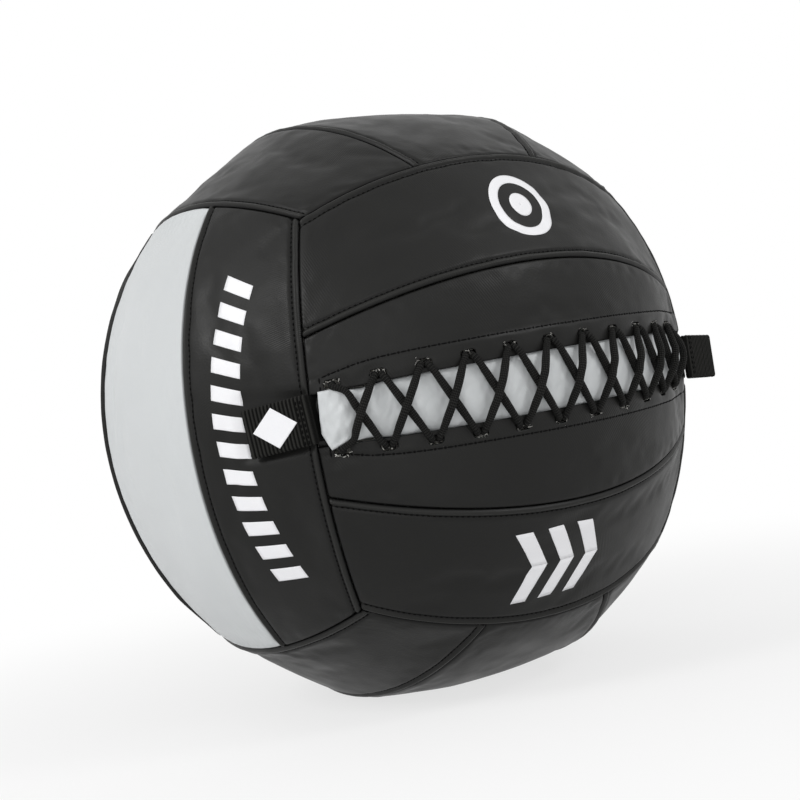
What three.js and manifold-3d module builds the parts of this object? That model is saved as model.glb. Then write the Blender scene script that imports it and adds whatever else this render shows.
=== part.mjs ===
// Wall ball: a soft, weighted throwing ball in an eighteen-strip sewn cover that is laced shut.
// Millimetres, +Z up. The origin is the middle of the flat that the ball rests on.
// The laced strip faces -Y, and +X is to the right of someone who looks at the lacing.

import * as THREE from 'three';
import { mergeVertices } from 'three/addons/utils/BufferGeometryUtils.js';
import Module from 'manifold-3d';

const wasm = await Module();
wasm.setup();

// Ball: the size across it, how far a seam crest stands above that size, and how far it settles.
const ballDiameter = 350;
const seamRise = 2.5;
const restFlatDepth = 2.6;

// Cover strips: wall, the sewn gap between two strips, and each strip's share of its face.
// A seam tangent is the height of a seam over the face's middle line, as a share of the radius.
const vinylThickness = 2;
const seamGap = 0.3;
const seamTangentMiddleShare = 0.378;
const seamTangentEndShare = 0.33;
const middlePuffShare = 0.46;
const outerPuffShare = 0.2;
const endRiseShare = 0.28;

// The lace's last turns pull the cover in round the seam where the mouth ends on the right.
const pullDepth = 6;
const pullReach = THREE.MathUtils.degToRad(28);
const pullDrop = THREE.MathUtils.degToRad(8);

// Laced mouth: half the slot between the flaps, how much it closes up at its two ends, the
// middle line's height over the face's middle, and how far that line climbs to the right.
const slotHalfWidth = 15.3;
const slotEndNarrowing = 2.5;
const slotLift = 0.7;
const slotClimb = 2.3;

// Lace: one braided cord, its room to the vinyl and to itself, and its punched holes.
const laceDiameter = 4.2;
const laceClearance = 0.4;
const laceSelfGap = 0.95;
const holeClearance = 0.7;
const holePairs = 11;
const firstHoleFromSeam = 12;
const lastHoleFromSeam = 27.5;
const holeFromSlot = 5.7;
const holeEndPull = 2.5;
const lastBarBulge = 7;
const lastBarLift = 3;
const laceTailLength = 6;
const laceLean = 2.1;
const firstLaceLean = 7;

// Tongue under the lacing, and the left end of it that is pulled out over the flaps.
const tongueThickness = 1.2;
const layerGap = 0.3;
const tongueEndFromSeam = 3;
const tongueEndUpperWidth = 12.6;
const tongueEndLowerWidth = 17.3;
const tongueEndSlant = 2.8;
const tongueFlareLength = 5;
const tongueWaistFromSeam = 20;
const tongueRiseLength = 12;
const tongueSpreadLength = 10;
const tongueWaistSlack = 0.6;
const tongueTuck = 0.4;
const tongueStepPower = 1.5;

// Webbing tabs in the two side seams: each is a strap folded in two, sewn in by its tail.
const tabWidth = 25;
const tabLength = 38;
const webbingThickness = 1.5;
const foldSlit = 0.4;
const slitFromSeam = 9;
const tabSeatGap = 0.4;
const tabTailDepth = 3;
const leftTabTilt = THREE.MathUtils.degToRad(5);
const rightTabTilt = THREE.MathUtils.degToRad(3);
const rightTabLift = THREE.MathUtils.degToRad(30);

// Inside: the inner bag, the fibre, the weight bag with its sand, and the wad that closes the way
// to it, which is a little shorter than the bag at both of its ends.
const innerBagWall = 1;
const innerBagClearance = 1.1;
const fibreClearance = 0.3;
const wadShortfall = 7;
const wadClearance = 0.4;
const weightBagDiameter = 134;
const weightBagWall = 1;
const neckDiameter = 26;
const neckLength = 10;
const frillDiameter = 40;
const frillLength = 12;
const sandClearance = 0.3;
const tieWidth = 4;
const tieThickness = 1.6;
const tieClearance = 0.3;

// Facets along and across a strip, along the laced pieces, on the inner layers and on rounds.
const stripColumns = 12;
const stripRows = 4;
const restColumns = 14;
const flapColumns = 24;
const flapRows = 2;
const mouthColumns = 12;
const innerColumns = 6;
const laceSides = 6;
const turnSteps = 4;
const twistSteps = 6;
const roundSides = 16;
const arcSteps = 6;
const holeArcSteps = 3;

// Sizes that follow from those above.
const overrun = vinylThickness;
const meanRadius = ballDiameter / 2;
const seamRadius = meanRadius + seamRise;
const faceHalfAngle = Math.PI / 4;
const faceHalfArc = meanRadius * faceHalfAngle;
const laceRadius = laceDiameter / 2;
const laceSpacing = laceDiameter + laceSelfGap;
const holePitch = (2 * faceHalfArc - firstHoleFromSeam - lastHoleFromSeam) / (holePairs - 1);
const tongueUnder = vinylThickness + layerGap;
const laceInnerDepth = tongueUnder + tongueThickness + laceClearance + laceRadius;
const laceOuterHeight = laceClearance + laceRadius;
const laceTurnRadius = (laceInnerDepth + laceOuterHeight) / 2;
const tongueStackHeight = tongueThickness + layerGap;
const trenchDepth = laceInnerDepth + laceSpacing + laceRadius + laceClearance;
const tabThickness = 2 * webbingThickness + foldSlit;
const innerBagDepth = vinylThickness + innerBagClearance;
const fibreDepth = innerBagDepth + innerBagWall + fibreClearance;

// The six faces of the ball. On each, along x across = normal, and its strips run along.
const faces = {
  front: { normal: [0, -1, 0], along: [1, 0, 0], across: [0, 0, 1] },
  back: { normal: [0, 1, 0], along: [-1, 0, 0], across: [0, 0, 1] },
  left: { normal: [-1, 0, 0], along: [0, 0, 1], across: [0, 1, 0] },
  right: { normal: [1, 0, 0], along: [0, 0, 1], across: [0, -1, 0] },
  top: { normal: [0, 0, 1], along: [0, 1, 0], across: [-1, 0, 0] },
  bottom: { normal: [0, 0, -1], along: [0, 1, 0], across: [1, 0, 0] },
};
for (const face of Object.values(faces)) {
  for (const key of Object.keys(face)) face[key] = new THREE.Vector3(...face[key]);
}

const blackVinyl = new THREE.MeshStandardMaterial({ color: 0x353535, roughness: 0.55, metalness: 0 });
const silverVinyl = new THREE.MeshStandardMaterial({ color: 0xc8ccce, roughness: 0.45, metalness: 0 });
const blackBraid = new THREE.MeshStandardMaterial({ color: 0x1c1c1b, roughness: 0.9, metalness: 0 });
const blackWebbing = new THREE.MeshStandardMaterial({ color: 0x1e1e1e, roughness: 0.85, metalness: 0 });
const liningCloth = new THREE.MeshStandardMaterial({ color: 0xe6e4dd, roughness: 0.95, metalness: 0 });
const whiteFibre = new THREE.MeshStandardMaterial({ color: 0xf0eee8, roughness: 1, metalness: 0 });
const bagCloth = new THREE.MeshStandardMaterial({ color: 0xb9a988, roughness: 0.95, metalness: 0 });
const drySand = new THREE.MeshStandardMaterial({ color: 0xc9b48a, roughness: 1, metalness: 0 });
const tieNylon = new THREE.MeshStandardMaterial({ color: 0xe9e9e4, roughness: 0.5, metalness: 0 });

// The place of a seam on a face, as a tangent, at a share of the way from its middle to its end.
function seamTangent(share) {
  return THREE.MathUtils.lerp(seamTangentMiddleShare, seamTangentEndShare, share * share);
}

// A strip is pulled nearly straight between its two seams and swells back towards the round,
// and at its ends it rises to the full round, where it is sewn to the next face.
function coverRadius(angle, tangent) {
  const share = Math.min(Math.abs(angle) / faceHalfAngle, 1);
  const seam = seamTangent(share);
  const middle = Math.abs(tangent) <= seam;
  const [low, high] = middle ? [-seam, seam] : tangent > 0 ? [seam, 1] : [-1, -seam];
  const base = 1 / Math.cos(angle);
  const lowLength = Math.hypot(base, low);
  const highLength = Math.hypot(base, high);
  const fromLow = (tangent - low) / lowLength;
  const toHigh = (high - tangent) / highLength;
  const place = fromLow / (fromLow + toHigh);
  const chordBase = base * ((1 - place) / lowLength + place / highLength);
  const chordAcross = ((1 - place) * low) / lowLength + (place * high) / highLength;
  const chord = Math.hypot(chordBase, chordAcross);
  const rise = Math.max(0, (share - 1 + endRiseShare) / endRiseShare) ** 2;
  const puff = middle ? middlePuffShare : outerPuffShare;
  return seamRadius * THREE.MathUtils.lerp(chord, 1, puff + (1 - puff) * rise);
}

const pullMiddle = new THREE.Vector3(1, -1, 0).setLength(Math.cos(pullDrop)).setZ(-Math.sin(pullDrop));

// How far the cover is pulled in where a ray from the ball's middle meets it.
function pulledIn(ray) {
  return pullDepth * Math.exp(-((ray.angleTo(pullMiddle) / pullReach) ** 2));
}

const centreHeight = coverRadius(0, 0) - restFlatDepth;

// A point of the cover at an angle along a face and a tangent across it, at a depth under the
// surface. No layer comes nearer to the floor than its depth, which makes the rest flat.
function coverPoint(face, angle, tangent, depth) {
  const point = face.normal.clone();
  point.addScaledVector(face.along, Math.tan(angle)).addScaledVector(face.across, tangent);
  const radius = coverRadius(angle, tangent) - pulledIn(point);
  point.setLength(radius - depth);
  point.z = Math.max(point.z + centreHeight, depth);
  return point;
}

// The same for the laced strip, by lengths on the ball: along from the middle of the face,
// across from the slot's middle line, and a height over the surface.
function lacedTangent(along, across) {
  const line = slotLift + (slotClimb * along) / faceHalfArc;
  return Math.tan((line + across) / meanRadius) / Math.cos(along / meanRadius);
}

function lacedPoint(along, across, height) {
  return coverPoint(faces.front, along / meanRadius, lacedTangent(along, across), -height);
}

function slotHalfAt(along) {
  return slotHalfWidth - slotEndNarrowing * (along / faceHalfArc) ** 2;
}

function holeHalfAt(along) {
  return slotHalfWidth + holeFromSlot - (slotEndNarrowing + holeEndPull) * (along / faceHalfArc) ** 2;
}

function holeAlong(pair) {
  return firstHoleFromSeam - faceHalfArc + pair * holePitch;
}

// A closed solid from a grid: place(column, row, side) gives each corner, side 0 outside.
function gridSolid(columns, rows, place) {
  const points = [];
  const faceList = [];
  const at = (column, row, side) => ((side * (columns + 1)) + column) * (rows + 1) + row;
  const quad = (a, b, c, d) => faceList.push(a, b, c, a, c, d);
  for (let side = 0; side < 2; side++) {
    for (let column = 0; column <= columns; column++) {
      for (let row = 0; row <= rows; row++) points.push(...place(column / columns, row / rows, side));
    }
  }
  for (let column = 0; column < columns; column++) {
    for (let row = 0; row < rows; row++) {
      quad(at(column, row, 0), at(column + 1, row, 0), at(column + 1, row + 1, 0), at(column, row + 1, 0));
      quad(at(column, row, 1), at(column, row + 1, 1), at(column + 1, row + 1, 1), at(column + 1, row, 1));
    }
    quad(at(column, 0, 0), at(column, 0, 1), at(column + 1, 0, 1), at(column + 1, 0, 0));
    quad(at(column, rows, 0), at(column + 1, rows, 0), at(column + 1, rows, 1), at(column, rows, 1));
  }
  for (let row = 0; row < rows; row++) {
    quad(at(0, row, 0), at(0, row + 1, 0), at(0, row + 1, 1), at(0, row, 1));
    quad(at(columns, row, 0), at(columns, row, 1), at(columns, row + 1, 1), at(columns, row + 1, 0));
  }
  const geometry = new THREE.BufferGeometry();
  geometry.setAttribute('position', new THREE.Float32BufferAttribute(points, 3));
  geometry.setIndex(faceList);
  geometry.computeVertexNormals();
  return geometry;
}

// Solids for cutting and joining, and back to a geometry.
function toSolid(geometry) {
  const bare = geometry.clone();
  bare.deleteAttribute('normal');
  bare.deleteAttribute('uv');
  const merged = mergeVertices(bare);
  const corners = [];
  const index = merged.index.array;
  for (let i = 0; i < index.length; i += 3) {
    const [a, b, c] = [index[i], index[i + 1], index[i + 2]];
    if (a !== b && b !== c && c !== a) corners.push(a, b, c);
  }
  return new wasm.Manifold(new wasm.Mesh({
    numProp: 3,
    vertProperties: merged.attributes.position.array,
    triVerts: new Uint32Array(corners),
  }));
}

function toGeometry(solid) {
  const mesh = solid.getMesh();
  const geometry = new THREE.BufferGeometry();
  geometry.setAttribute('position', new THREE.BufferAttribute(mesh.vertProperties, 3));
  geometry.setIndex(new THREE.BufferAttribute(mesh.triVerts, 1));
  geometry.computeVertexNormals();
  return geometry;
}

function cut(geometry, cutters) {
  return toGeometry(cutters.reduce((solid, cutter) => solid.subtract(cutter), toSolid(geometry)));
}

function extruded(outline, depth, curveSegments) {
  return new THREE.ExtrudeGeometry(outline, { depth, bevelEnabled: false, curveSegments });
}

// One strip of cover between two seams or edges, inset by half the sewn gap on every side.
// The edges are tangents that depend on the share of the way along.
function stripSolid(face, lowEdge, highEdge, columns, rows) {
  const inset = seamGap / 2 / meanRadius;
  return gridSolid(columns, rows, (u, v, side) => {
    const angle = (2 * u - 1) * (faceHalfAngle - inset);
    const share = Math.abs(angle) / faceHalfAngle;
    const base = 1 / Math.cos(angle);
    const step = (tangent) => (inset * (base ** 2 + tangent ** 2)) / base;
    const low = lowEdge(share, angle);
    const high = highEdge(share, angle);
    const tangent = THREE.MathUtils.lerp(low + step(low), high - step(high), v);
    return coverPoint(face, angle, tangent, side * vinylThickness);
  });
}

// A layer under the cover, all round the ball, at a depth under the surface.
function ballSolid(depth) {
  const points = [];
  const faceList = [];
  const row = innerColumns + 1;
  for (const face of Object.values(faces)) {
    const start = points.length / 3;
    for (let i = 0; i <= innerColumns; i++) {
      for (let j = 0; j <= innerColumns; j++) {
        const angle = ((2 * i) / innerColumns - 1) * faceHalfAngle;
        const tangent = Math.tan(((2 * j) / innerColumns - 1) * faceHalfAngle);
        points.push(...coverPoint(face, angle, tangent, depth));
      }
    }
    for (let i = 0; i < innerColumns; i++) {
      for (let j = 0; j < innerColumns; j++) {
        const a = start + i * row + j;
        faceList.push(a, a + row, a + row + 1, a, a + row + 1, a + 1);
      }
    }
  }
  const geometry = new THREE.BufferGeometry();
  geometry.setAttribute('position', new THREE.Float32BufferAttribute(points, 3));
  geometry.setIndex(faceList);
  return toSolid(geometry);
}

// Holes of the lace: a punched slot that takes two strands side by side.
function holeCutter(pair, side) {
  const along = holeAlong(pair);
  const across = side * holeHalfAt(along);
  const half = laceSpacing / 2;
  const radius = laceRadius + holeClearance;
  const outline = new THREE.Shape();
  outline.absarc(half, 0, radius, -Math.PI / 2, Math.PI / 2, false);
  outline.absarc(-half, 0, radius, Math.PI / 2, (3 * Math.PI) / 2, false);
  const geometry = extruded(outline, vinylThickness + 2 * overrun, holeArcSteps);
  const middle = lacedPoint(along, across, -vinylThickness - overrun);
  const ahead = lacedPoint(along + half, across, -vinylThickness - overrun).sub(middle).normalize();
  const aside = lacedPoint(along, across + half, -vinylThickness - overrun).sub(middle);
  const up = ahead.clone().cross(aside).normalize();
  const basis = new THREE.Matrix4().makeBasis(ahead, up.clone().cross(ahead), up).setPosition(middle);
  return toSolid(geometry.applyMatrix4(basis));
}

// The seam frame of a tab: out of the ball, over the side face, and the line that it turns on.
function tabFrame(side, tilt) {
  const out = new THREE.Vector3(side, -1, 0).normalize();
  const over = new THREE.Vector3(side, 1, 0).normalize();
  over.multiplyScalar(Math.cos(tilt)).addScaledVector(new THREE.Vector3(0, 0, 1), -Math.sin(tilt));
  const axis = over.clone().cross(out).normalize();
  return { out, over, axis };
}

// The side face's front strip falls away from the seam at half of the angle that it spans.
const stripSpan = faceHalfAngle - Math.atan(seamTangentMiddleShare);
const stripFall = stripSpan / 2;
const stripSwell = seamRadius * (1 - Math.cos(stripFall)) * outerPuffShare;
const tabSeat = stripSwell + tabSeatGap + tabThickness / 2;
const hingeRadius = seamRadius + tabSeat / Math.cos(stripFall);

function hingePoint(frame) {
  return frame.out.clone().multiplyScalar(hingeRadius - pulledIn(frame.out)).setZ(centreHeight);
}

// The tab's section lies in x (away from the seam) and y (its thickness), and runs along z.
function tabGeometry() {
  const radius = tabThickness / 2;
  const outline = new THREE.Shape();
  outline.absarc(tabLength - radius, 0, radius, -Math.PI / 2, Math.PI / 2, false);
  outline.absarc(0, 0, radius, Math.PI / 2, (3 * Math.PI) / 2, false);
  const slit = new THREE.Path();
  const half = foldSlit / 2;
  slit.absarc(tabLength - radius, 0, half, Math.PI / 2, -Math.PI / 2, true);
  slit.absarc(slitFromSeam, 0, half, -Math.PI / 2, -(3 * Math.PI) / 2, true);
  outline.holes.push(slit);
  return extruded(outline, tabWidth, arcSteps).translate(0, 0, -tabWidth / 2);
}

// The tail that is sewn in the seam: a stub through the cover. Its top is hollowed under the
// tab's root and falls away under the tab as it lies.
function tailGeometry(clearance, reach) {
  const half = tabThickness / 2 + clearance;
  const seat = tabThickness / 2 + layerGap;
  const bottom = seamRadius - vinylThickness - hingeRadius - reach;
  const seatAngle = Math.asin(Math.min((tabThickness / 2) / seat, 1));
  const outline = new THREE.Shape();
  outline.moveTo(-half, bottom);
  outline.lineTo(half, bottom);
  if (clearance > 0) {
    outline.lineTo(half, seat);
    outline.lineTo(-half, seat);
  } else {
    outline.lineTo(half, -seat / Math.cos(stripFall) - half * Math.tan(stripFall));
    outline.absarc(0, 0, seat, -Math.PI / 2 - stripFall, -Math.PI / 2 - seatAngle, true);
  }
  const depth = tabWidth + 2 * clearance;
  return extruded(outline, depth, arcSteps).translate(0, 0, -depth / 2);
}

// Placing a section: x and y of the section go to two directions, and z along their cross.
function frameMatrix(x, y, place) {
  return new THREE.Matrix4().makeBasis(x, y, x.clone().cross(y)).setPosition(place);
}

function tailCutter(frame) {
  const geometry = tailGeometry(layerGap, overrun);
  return toSolid(geometry.applyMatrix4(frameMatrix(frame.over, frame.out, hingePoint(frame))));
}

const leftFrame = tabFrame(-1, leftTabTilt);
const rightFrame = tabFrame(1, rightTabTilt);
const leftTail = tailCutter(leftFrame);
const rightTail = tailCutter(rightFrame);

// The tongue: flat under the flaps, drawn in to a waist where it comes out through the slot,
// and wider again where its left end lies over the flaps, with its lower corner pulled down.
function tongueSolid() {
  const startAt = (v) => tongueEndFromSeam - faceHalfArc + tongueEndSlant * Math.max(0, 1 - 2 * v);
  const end = faceHalfArc - tongueEndFromSeam;
  const waist = tongueWaistFromSeam - faceHalfArc;
  const under = waist + tongueRiseLength / 2;
  const rise = (along) => 1 - THREE.MathUtils.smoothstep(along, waist - tongueRiseLength / 2, under);
  const halfAt = (along, v) => {
    const drawn = slotHalfAt(along) - tongueWaistSlack;
    const full = holeHalfAt(along) - laceTurnRadius + tongueTuck;
    const spread = THREE.MathUtils.smoothstep(along, under, under + tongueSpreadLength);
    const flare = 1 - THREE.MathUtils.smoothstep(along, startAt(v), startAt(v) + tongueFlareLength);
    const endHalf = v < 0.5 ? tongueEndLowerWidth : tongueEndUpperWidth;
    return THREE.MathUtils.lerp(THREE.MathUtils.lerp(drawn, full, spread), endHalf, flare);
  };
  return gridSolid(flapColumns, flapRows, (u, v, side) => {
    const along = THREE.MathUtils.lerp(startAt(v), end, u ** tongueStepPower);
    const top = THREE.MathUtils.lerp(tongueUnder, -tongueStackHeight, rise(along));
    return lacedPoint(along, (2 * v - 1) * halfAt(along, v), -top - side * tongueThickness);
  });
}

// Where the lace bends between two holes, as shares of the way: plain strands, and those that
// hump over them.
const plainShares = [0.33, 0.67];
const humpShares = [0.18, 0.36, 0.5, 0.64, 0.82];

// The lace, as places along, across and high, from one inner tail to the other.
function laceRoute() {
  const route = [];
  const last = holePairs - 1;
  const half = laceSpacing / 2;
  const topHeight = (pair) => laceOuterHeight + (pair === 0 ? tongueStackHeight : 0);
  const turnRadius = (pair) => laceTurnRadius + (pair === 0 ? tongueStackHeight / 2 : 0);
  const inner = (pair) => holeHalfAt(holeAlong(pair)) - turnRadius(pair);
  const lean = (pair) => (pair === 0 ? firstLaceLean : laceLean);

  // Through a hole: half a turn round the edge of the flap, from the top to the inside. On top
  // it already leans the way of the strand: way is 1 or -1 along the slot.
  const pass = (pair, side, offset, inward, way) => {
    for (let step = 0; step <= turnSteps; step++) {
      const turn = (inward ? 1 : -1) * (Math.PI / 2 - (Math.PI * step) / turnSteps);
      const across = inner(pair) + turnRadius(pair) * Math.cos(turn);
      const height = topHeight(pair) - turnRadius(pair) * (1 - Math.sin(turn));
      const ahead = turn > 0 ? way * lean(pair) * (1 - Math.cos(turn)) ** 2 : 0;
      route.push([holeAlong(pair) + offset + ahead, side * across, height]);
    }
  };

  // Over the tongue from one hole to another: the second set of strands humps over the first.
  const strand = (from, to, side, offsets, hump) => {
    const way = Math.sign(to - from);
    const start = holeAlong(from) + offsets[0] + way * lean(from);
    const end = holeAlong(to) + offsets[1] - way * lean(to);
    for (const share of hump ? humpShares : plainShares) {
      const nearest = Math.min(share, 1 - share) / humpShares[1];
      const rise = hump ? laceSpacing * THREE.MathUtils.smoothstep(nearest, 0, 1) : 0;
      route.push([
        THREE.MathUtils.lerp(start, end, share),
        THREE.MathUtils.lerp(side * inner(from), -side * inner(to), share),
        THREE.MathUtils.lerp(topHeight(from), topHeight(to), share) + rise,
      ]);
    }
  };

  // Behind the tongue between the two holes of a pair: two strands, half a turn about each other.
  const behind = (pair, side, offset, deep) => {
    for (let step = 1; step < twistSteps; step++) {
      const share = step / twistSteps;
      route.push([
        holeAlong(pair) + offset * Math.cos(Math.PI * share),
        side * inner(pair) * (1 - 2 * share),
        -laceInnerDepth - (deep ? laceSpacing * Math.sin(Math.PI * share) : 0),
      ]);
    }
  };

  const tail = (offset) => [
    holeAlong(last) + offset,
    laceTailLength - inner(last),
    -laceInnerDepth,
  ];

  // First set, from the last lower hole back to the first upper one.
  route.push(tail(-half));
  for (let pair = last; pair > 0; pair--) {
    const offset = pair === 1 ? 0 : half;
    pass(pair, -1, -half, false, -1);
    strand(pair, pair - 1, -1, [-half, offset], false);
    pass(pair - 1, 1, offset, true, 1);
    if (pair > 1) behind(pair - 1, 1, half, false);
  }

  // Inside from the first upper hole to the first lower one, and back to the right.
  behind(0, 1, 0, false);
  for (let pair = 0; pair < last; pair++) {
    const offset = pair === 0 ? 0 : half;
    pass(pair, -1, offset, false, 1);
    strand(pair, pair + 1, -1, [offset, -half], true);
    pass(pair + 1, 1, -half, true, -1);
    if (pair + 1 < last) behind(pair + 1, 1, -half, true);
  }

  // The last upper hole: a short loop inside, out again, and a bar down to the last lower hole.
  for (let step = 0; step <= twistSteps; step++) {
    const turn = (Math.PI * step) / twistSteps;
    const reach = inner(last) - laceTailLength - half * Math.sin(turn);
    route.push([holeAlong(last) - half * Math.cos(turn), reach, -laceInnerDepth]);
  }
  pass(last, 1, half, false, 0);
  for (const share of humpShares) {
    const bow = Math.sin(Math.PI * share);
    route.push([
      holeAlong(last) + half + lastBarBulge * bow,
      inner(last) * (1 - 2 * share),
      laceOuterHeight + lastBarLift * bow,
    ]);
  }
  pass(last, -1, half, true, 0);
  route.push(tail(half));
  return route.map(([along, across, height]) => lacedPoint(along, across, height));
}

// A closed tube along points, with a frame that turns as little as it can.
function tubeSolid(points, radius, sides) {
  const positions = [];
  const faceList = [];
  const tangentAt = (i) => {
    const before = points[Math.max(i - 1, 0)];
    const after = points[Math.min(i + 1, points.length - 1)];
    return after.clone().sub(before).normalize();
  };
  let normal = tangentAt(0).cross(new THREE.Vector3(1, 0, 0)).normalize();
  points.forEach((point, i) => {
    const tangent = tangentAt(i);
    normal = normal.sub(tangent.clone().multiplyScalar(normal.dot(tangent))).normalize();
    const side = tangent.clone().cross(normal);
    for (let k = 0; k < sides; k++) {
      const turn = (2 * Math.PI * k) / sides;
      const corner = point.clone().addScaledVector(normal, radius * Math.cos(turn));
      positions.push(...corner.addScaledVector(side, radius * Math.sin(turn)));
    }
  });
  for (let i = 0; i + 1 < points.length; i++) {
    for (let k = 0; k < sides; k++) {
      const a = i * sides + k;
      const b = i * sides + ((k + 1) % sides);
      faceList.push(a, b, b + sides, a, b + sides, a + sides);
    }
  }
  const last = (points.length - 1) * sides;
  for (let k = 1; k + 1 < sides; k++) {
    faceList.push(0, k + 1, k);
    faceList.push(last, last + k, last + k + 1);
  }
  const geometry = new THREE.BufferGeometry();
  geometry.setAttribute('position', new THREE.Float32BufferAttribute(positions, 3));
  geometry.setIndex(faceList);
  geometry.computeVertexNormals();
  return geometry;
}

// The least gap of a tube to itself, on points spread evenly along it. Points that are nearer
// along the tube than a full turn of its own radius are the same stretch.
function leastSelfGap(points, radius) {
  const path = new THREE.CurvePath();
  for (let i = 0; i + 1 < points.length; i++) path.add(new THREE.LineCurve3(points[i], points[i + 1]));
  const length = path.getLength();
  const spread = path.getSpacedPoints(Math.ceil(length / radius));
  const skip = Math.ceil(Math.PI * 2);
  let least = Infinity;
  for (let i = 0; i < spread.length; i++) {
    for (let j = i + skip; j < spread.length; j++) least = Math.min(least, spread[i].distanceTo(spread[j]));
  }
  return { length, gap: least - 2 * radius };
}

// The weight bag lies in the middle with its neck towards the mouth: profiles about its axis.
const bagRadius = weightBagDiameter / 2;
const neckAngle = Math.asin(neckDiameter / weightBagDiameter);
const neckStart = bagRadius * Math.cos(neckAngle);
const neckEnd = neckStart + neckLength;
const frillEnd = neckEnd + frillLength;

function roundProfile(radius) {
  const points = [];
  const steps = roundSides / 2;
  for (let step = 0; step <= steps; step++) {
    const turn = THREE.MathUtils.lerp(Math.PI, neckAngle, step / steps);
    points.push(new THREE.Vector2(step === 0 ? 0 : radius * Math.sin(turn), radius * Math.cos(turn)));
  }
  return points;
}

function turned(profile) {
  const geometry = new THREE.LatheGeometry(profile, roundSides);
  return toGeometry(toSolid(geometry));
}

function roundSolid(radius) {
  const profile = roundProfile(radius);
  profile.push(new THREE.Vector2(0, profile[profile.length - 1].y));
  return toSolid(new THREE.LatheGeometry(profile, roundSides));
}

function weightBagGeometry() {
  const neck = neckDiameter / 2;
  const frill = frillDiameter / 2;
  const outside = roundProfile(bagRadius);
  outside.push(new THREE.Vector2(neck, neckEnd), new THREE.Vector2(frill, frillEnd));
  const inside = roundProfile(bagRadius - weightBagWall);
  inside.push(new THREE.Vector2(neck - weightBagWall, neckEnd));
  inside.push(new THREE.Vector2(frill - weightBagWall, frillEnd));
  return turned([...outside, ...inside.reverse()]);
}

function sandGeometry() {
  return toGeometry(roundSolid(bagRadius - weightBagWall - sandClearance));
}

function tieGeometry() {
  const inside = neckDiameter / 2 + tieClearance;
  const outside = inside + tieThickness;
  const low = (neckStart + neckEnd - tieWidth) / 2;
  const high = low + tieWidth;
  const profile = [[inside, low], [outside, low], [outside, high], [inside, high], [inside, low]];
  return turned(profile.map(([radius, height]) => new THREE.Vector2(radius, height)));
}

// Room for the bag and its neck inside the fibre, from the same profile.
function bagRoom(clearance) {
  const neck = new THREE.CylinderGeometry(
    frillDiameter / 2 + clearance,
    frillDiameter / 2 + clearance,
    frillEnd + clearance,
    roundSides,
  ).translate(0, (frillEnd + clearance) / 2, 0);
  const room = roundSolid(bagRadius + clearance).add(toSolid(neck));
  return room.rotate([0, 0, 180]).translate([0, 0, centreHeight]);
}

// The closing wad fills the way in from the mouth: a straight block of fibre, round at its ends.
function wadBlock(clearance) {
  const width = slotHalfWidth + holeFromSlot;
  const half = bagRadius - wadShortfall - width;
  const radius = width + clearance;
  const outline = new THREE.Shape();
  outline.absarc(half, 0, radius, -Math.PI / 2, Math.PI / 2, false);
  outline.absarc(-half, 0, radius, Math.PI / 2, (3 * Math.PI) / 2, false);
  const block = extruded(outline, seamRadius, arcSteps);
  const stand = new THREE.Matrix4().makeRotationX(Math.PI / 2);
  return toSolid(block.applyMatrix4(stand).translate(0, 0, centreHeight));
}

// The mouth through the layers under the cover, with room for the tongue and the lace.
function mouthCutter(depth) {
  const start = firstHoleFromSeam - laceSpacing - faceHalfArc;
  return toSolid(gridSolid(mouthColumns, flapRows, (u, v, side) => {
    const along = THREE.MathUtils.lerp(start, faceHalfArc, u);
    const half = holeHalfAt(along) + laceRadius + laceClearance;
    return lacedPoint(along, (2 * v - 1) * half, side === 0 ? overrun : -depth);
  }));
}

// Assembly.
const wallBall = new THREE.Group();
const ballGroup = new THREE.Group();
wallBall.add(ballGroup);

function addPiece(name, geometry, material, parent = ballGroup) {
  const mesh = new THREE.Mesh(geometry, material);
  mesh.name = name;
  parent.add(mesh);
  return mesh;
}

const seamLine = (share) => seamTangent(share);
const seamBelow = (share) => -seamTangent(share);
const faceEdge = () => 1;
const faceEdgeBelow = () => -1;
const slotTop = (share, angle) => lacedTangent(angle * meanRadius, slotHalfAt(angle * meanRadius));
const slotBottom = (share, angle) => lacedTangent(angle * meanRadius, -slotHalfAt(angle * meanRadius));

// Each face's strips, named from the low side to the high side.
const stripNames = {
  front: ['front_lower_panel', null, 'front_upper_panel'],
  back: ['back_lower_panel', 'back_middle_panel', 'back_upper_panel'],
  left: ['left_front_panel', 'left_middle_panel', 'left_back_panel'],
  right: ['right_back_panel', 'right_middle_panel', 'right_front_panel'],
  top: ['top_right_panel', 'top_middle_panel', 'top_left_panel'],
  bottom: ['bottom_left_panel', 'bottom_middle_panel', 'bottom_right_panel'],
};
const stripEdges = [[faceEdgeBelow, seamBelow], [seamBelow, seamLine], [seamLine, faceEdge]];
const tabCuts = { left_front_panel: [leftTail], right_front_panel: [rightTail] };

for (const [faceName, names] of Object.entries(stripNames)) {
  names.forEach((name, place) => {
    if (!name) return;
    const [low, high] = stripEdges[place];
    const columns = name === 'bottom_middle_panel' ? restColumns : stripColumns;
    const strip = stripSolid(faces[faceName], low, high, columns, stripRows);
    const silver = name === 'left_middle_panel' || name === 'right_middle_panel';
    const geometry = tabCuts[name] ? cut(strip, tabCuts[name]) : strip;
    addPiece(name, geometry, silver ? silverVinyl : blackVinyl);
  });
}

// The laced strip: two flaps with a row of holes each.
const pairList = Array.from({ length: holePairs }, (unused, pair) => pair);
const flaps = [
  ['front_upper_flap', slotTop, seamLine, 1],
  ['front_lower_flap', seamBelow, slotBottom, -1],
];
for (const [name, low, high, side] of flaps) {
  const flap = stripSolid(faces.front, low, high, flapColumns, flapRows);
  const cutters = pairList.map((pair) => holeCutter(pair, side));
  addPiece(name, cut(flap, [...cutters, leftTail, rightTail]), blackVinyl);
}

addPiece('tongue', tongueSolid(), silverVinyl);

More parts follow.
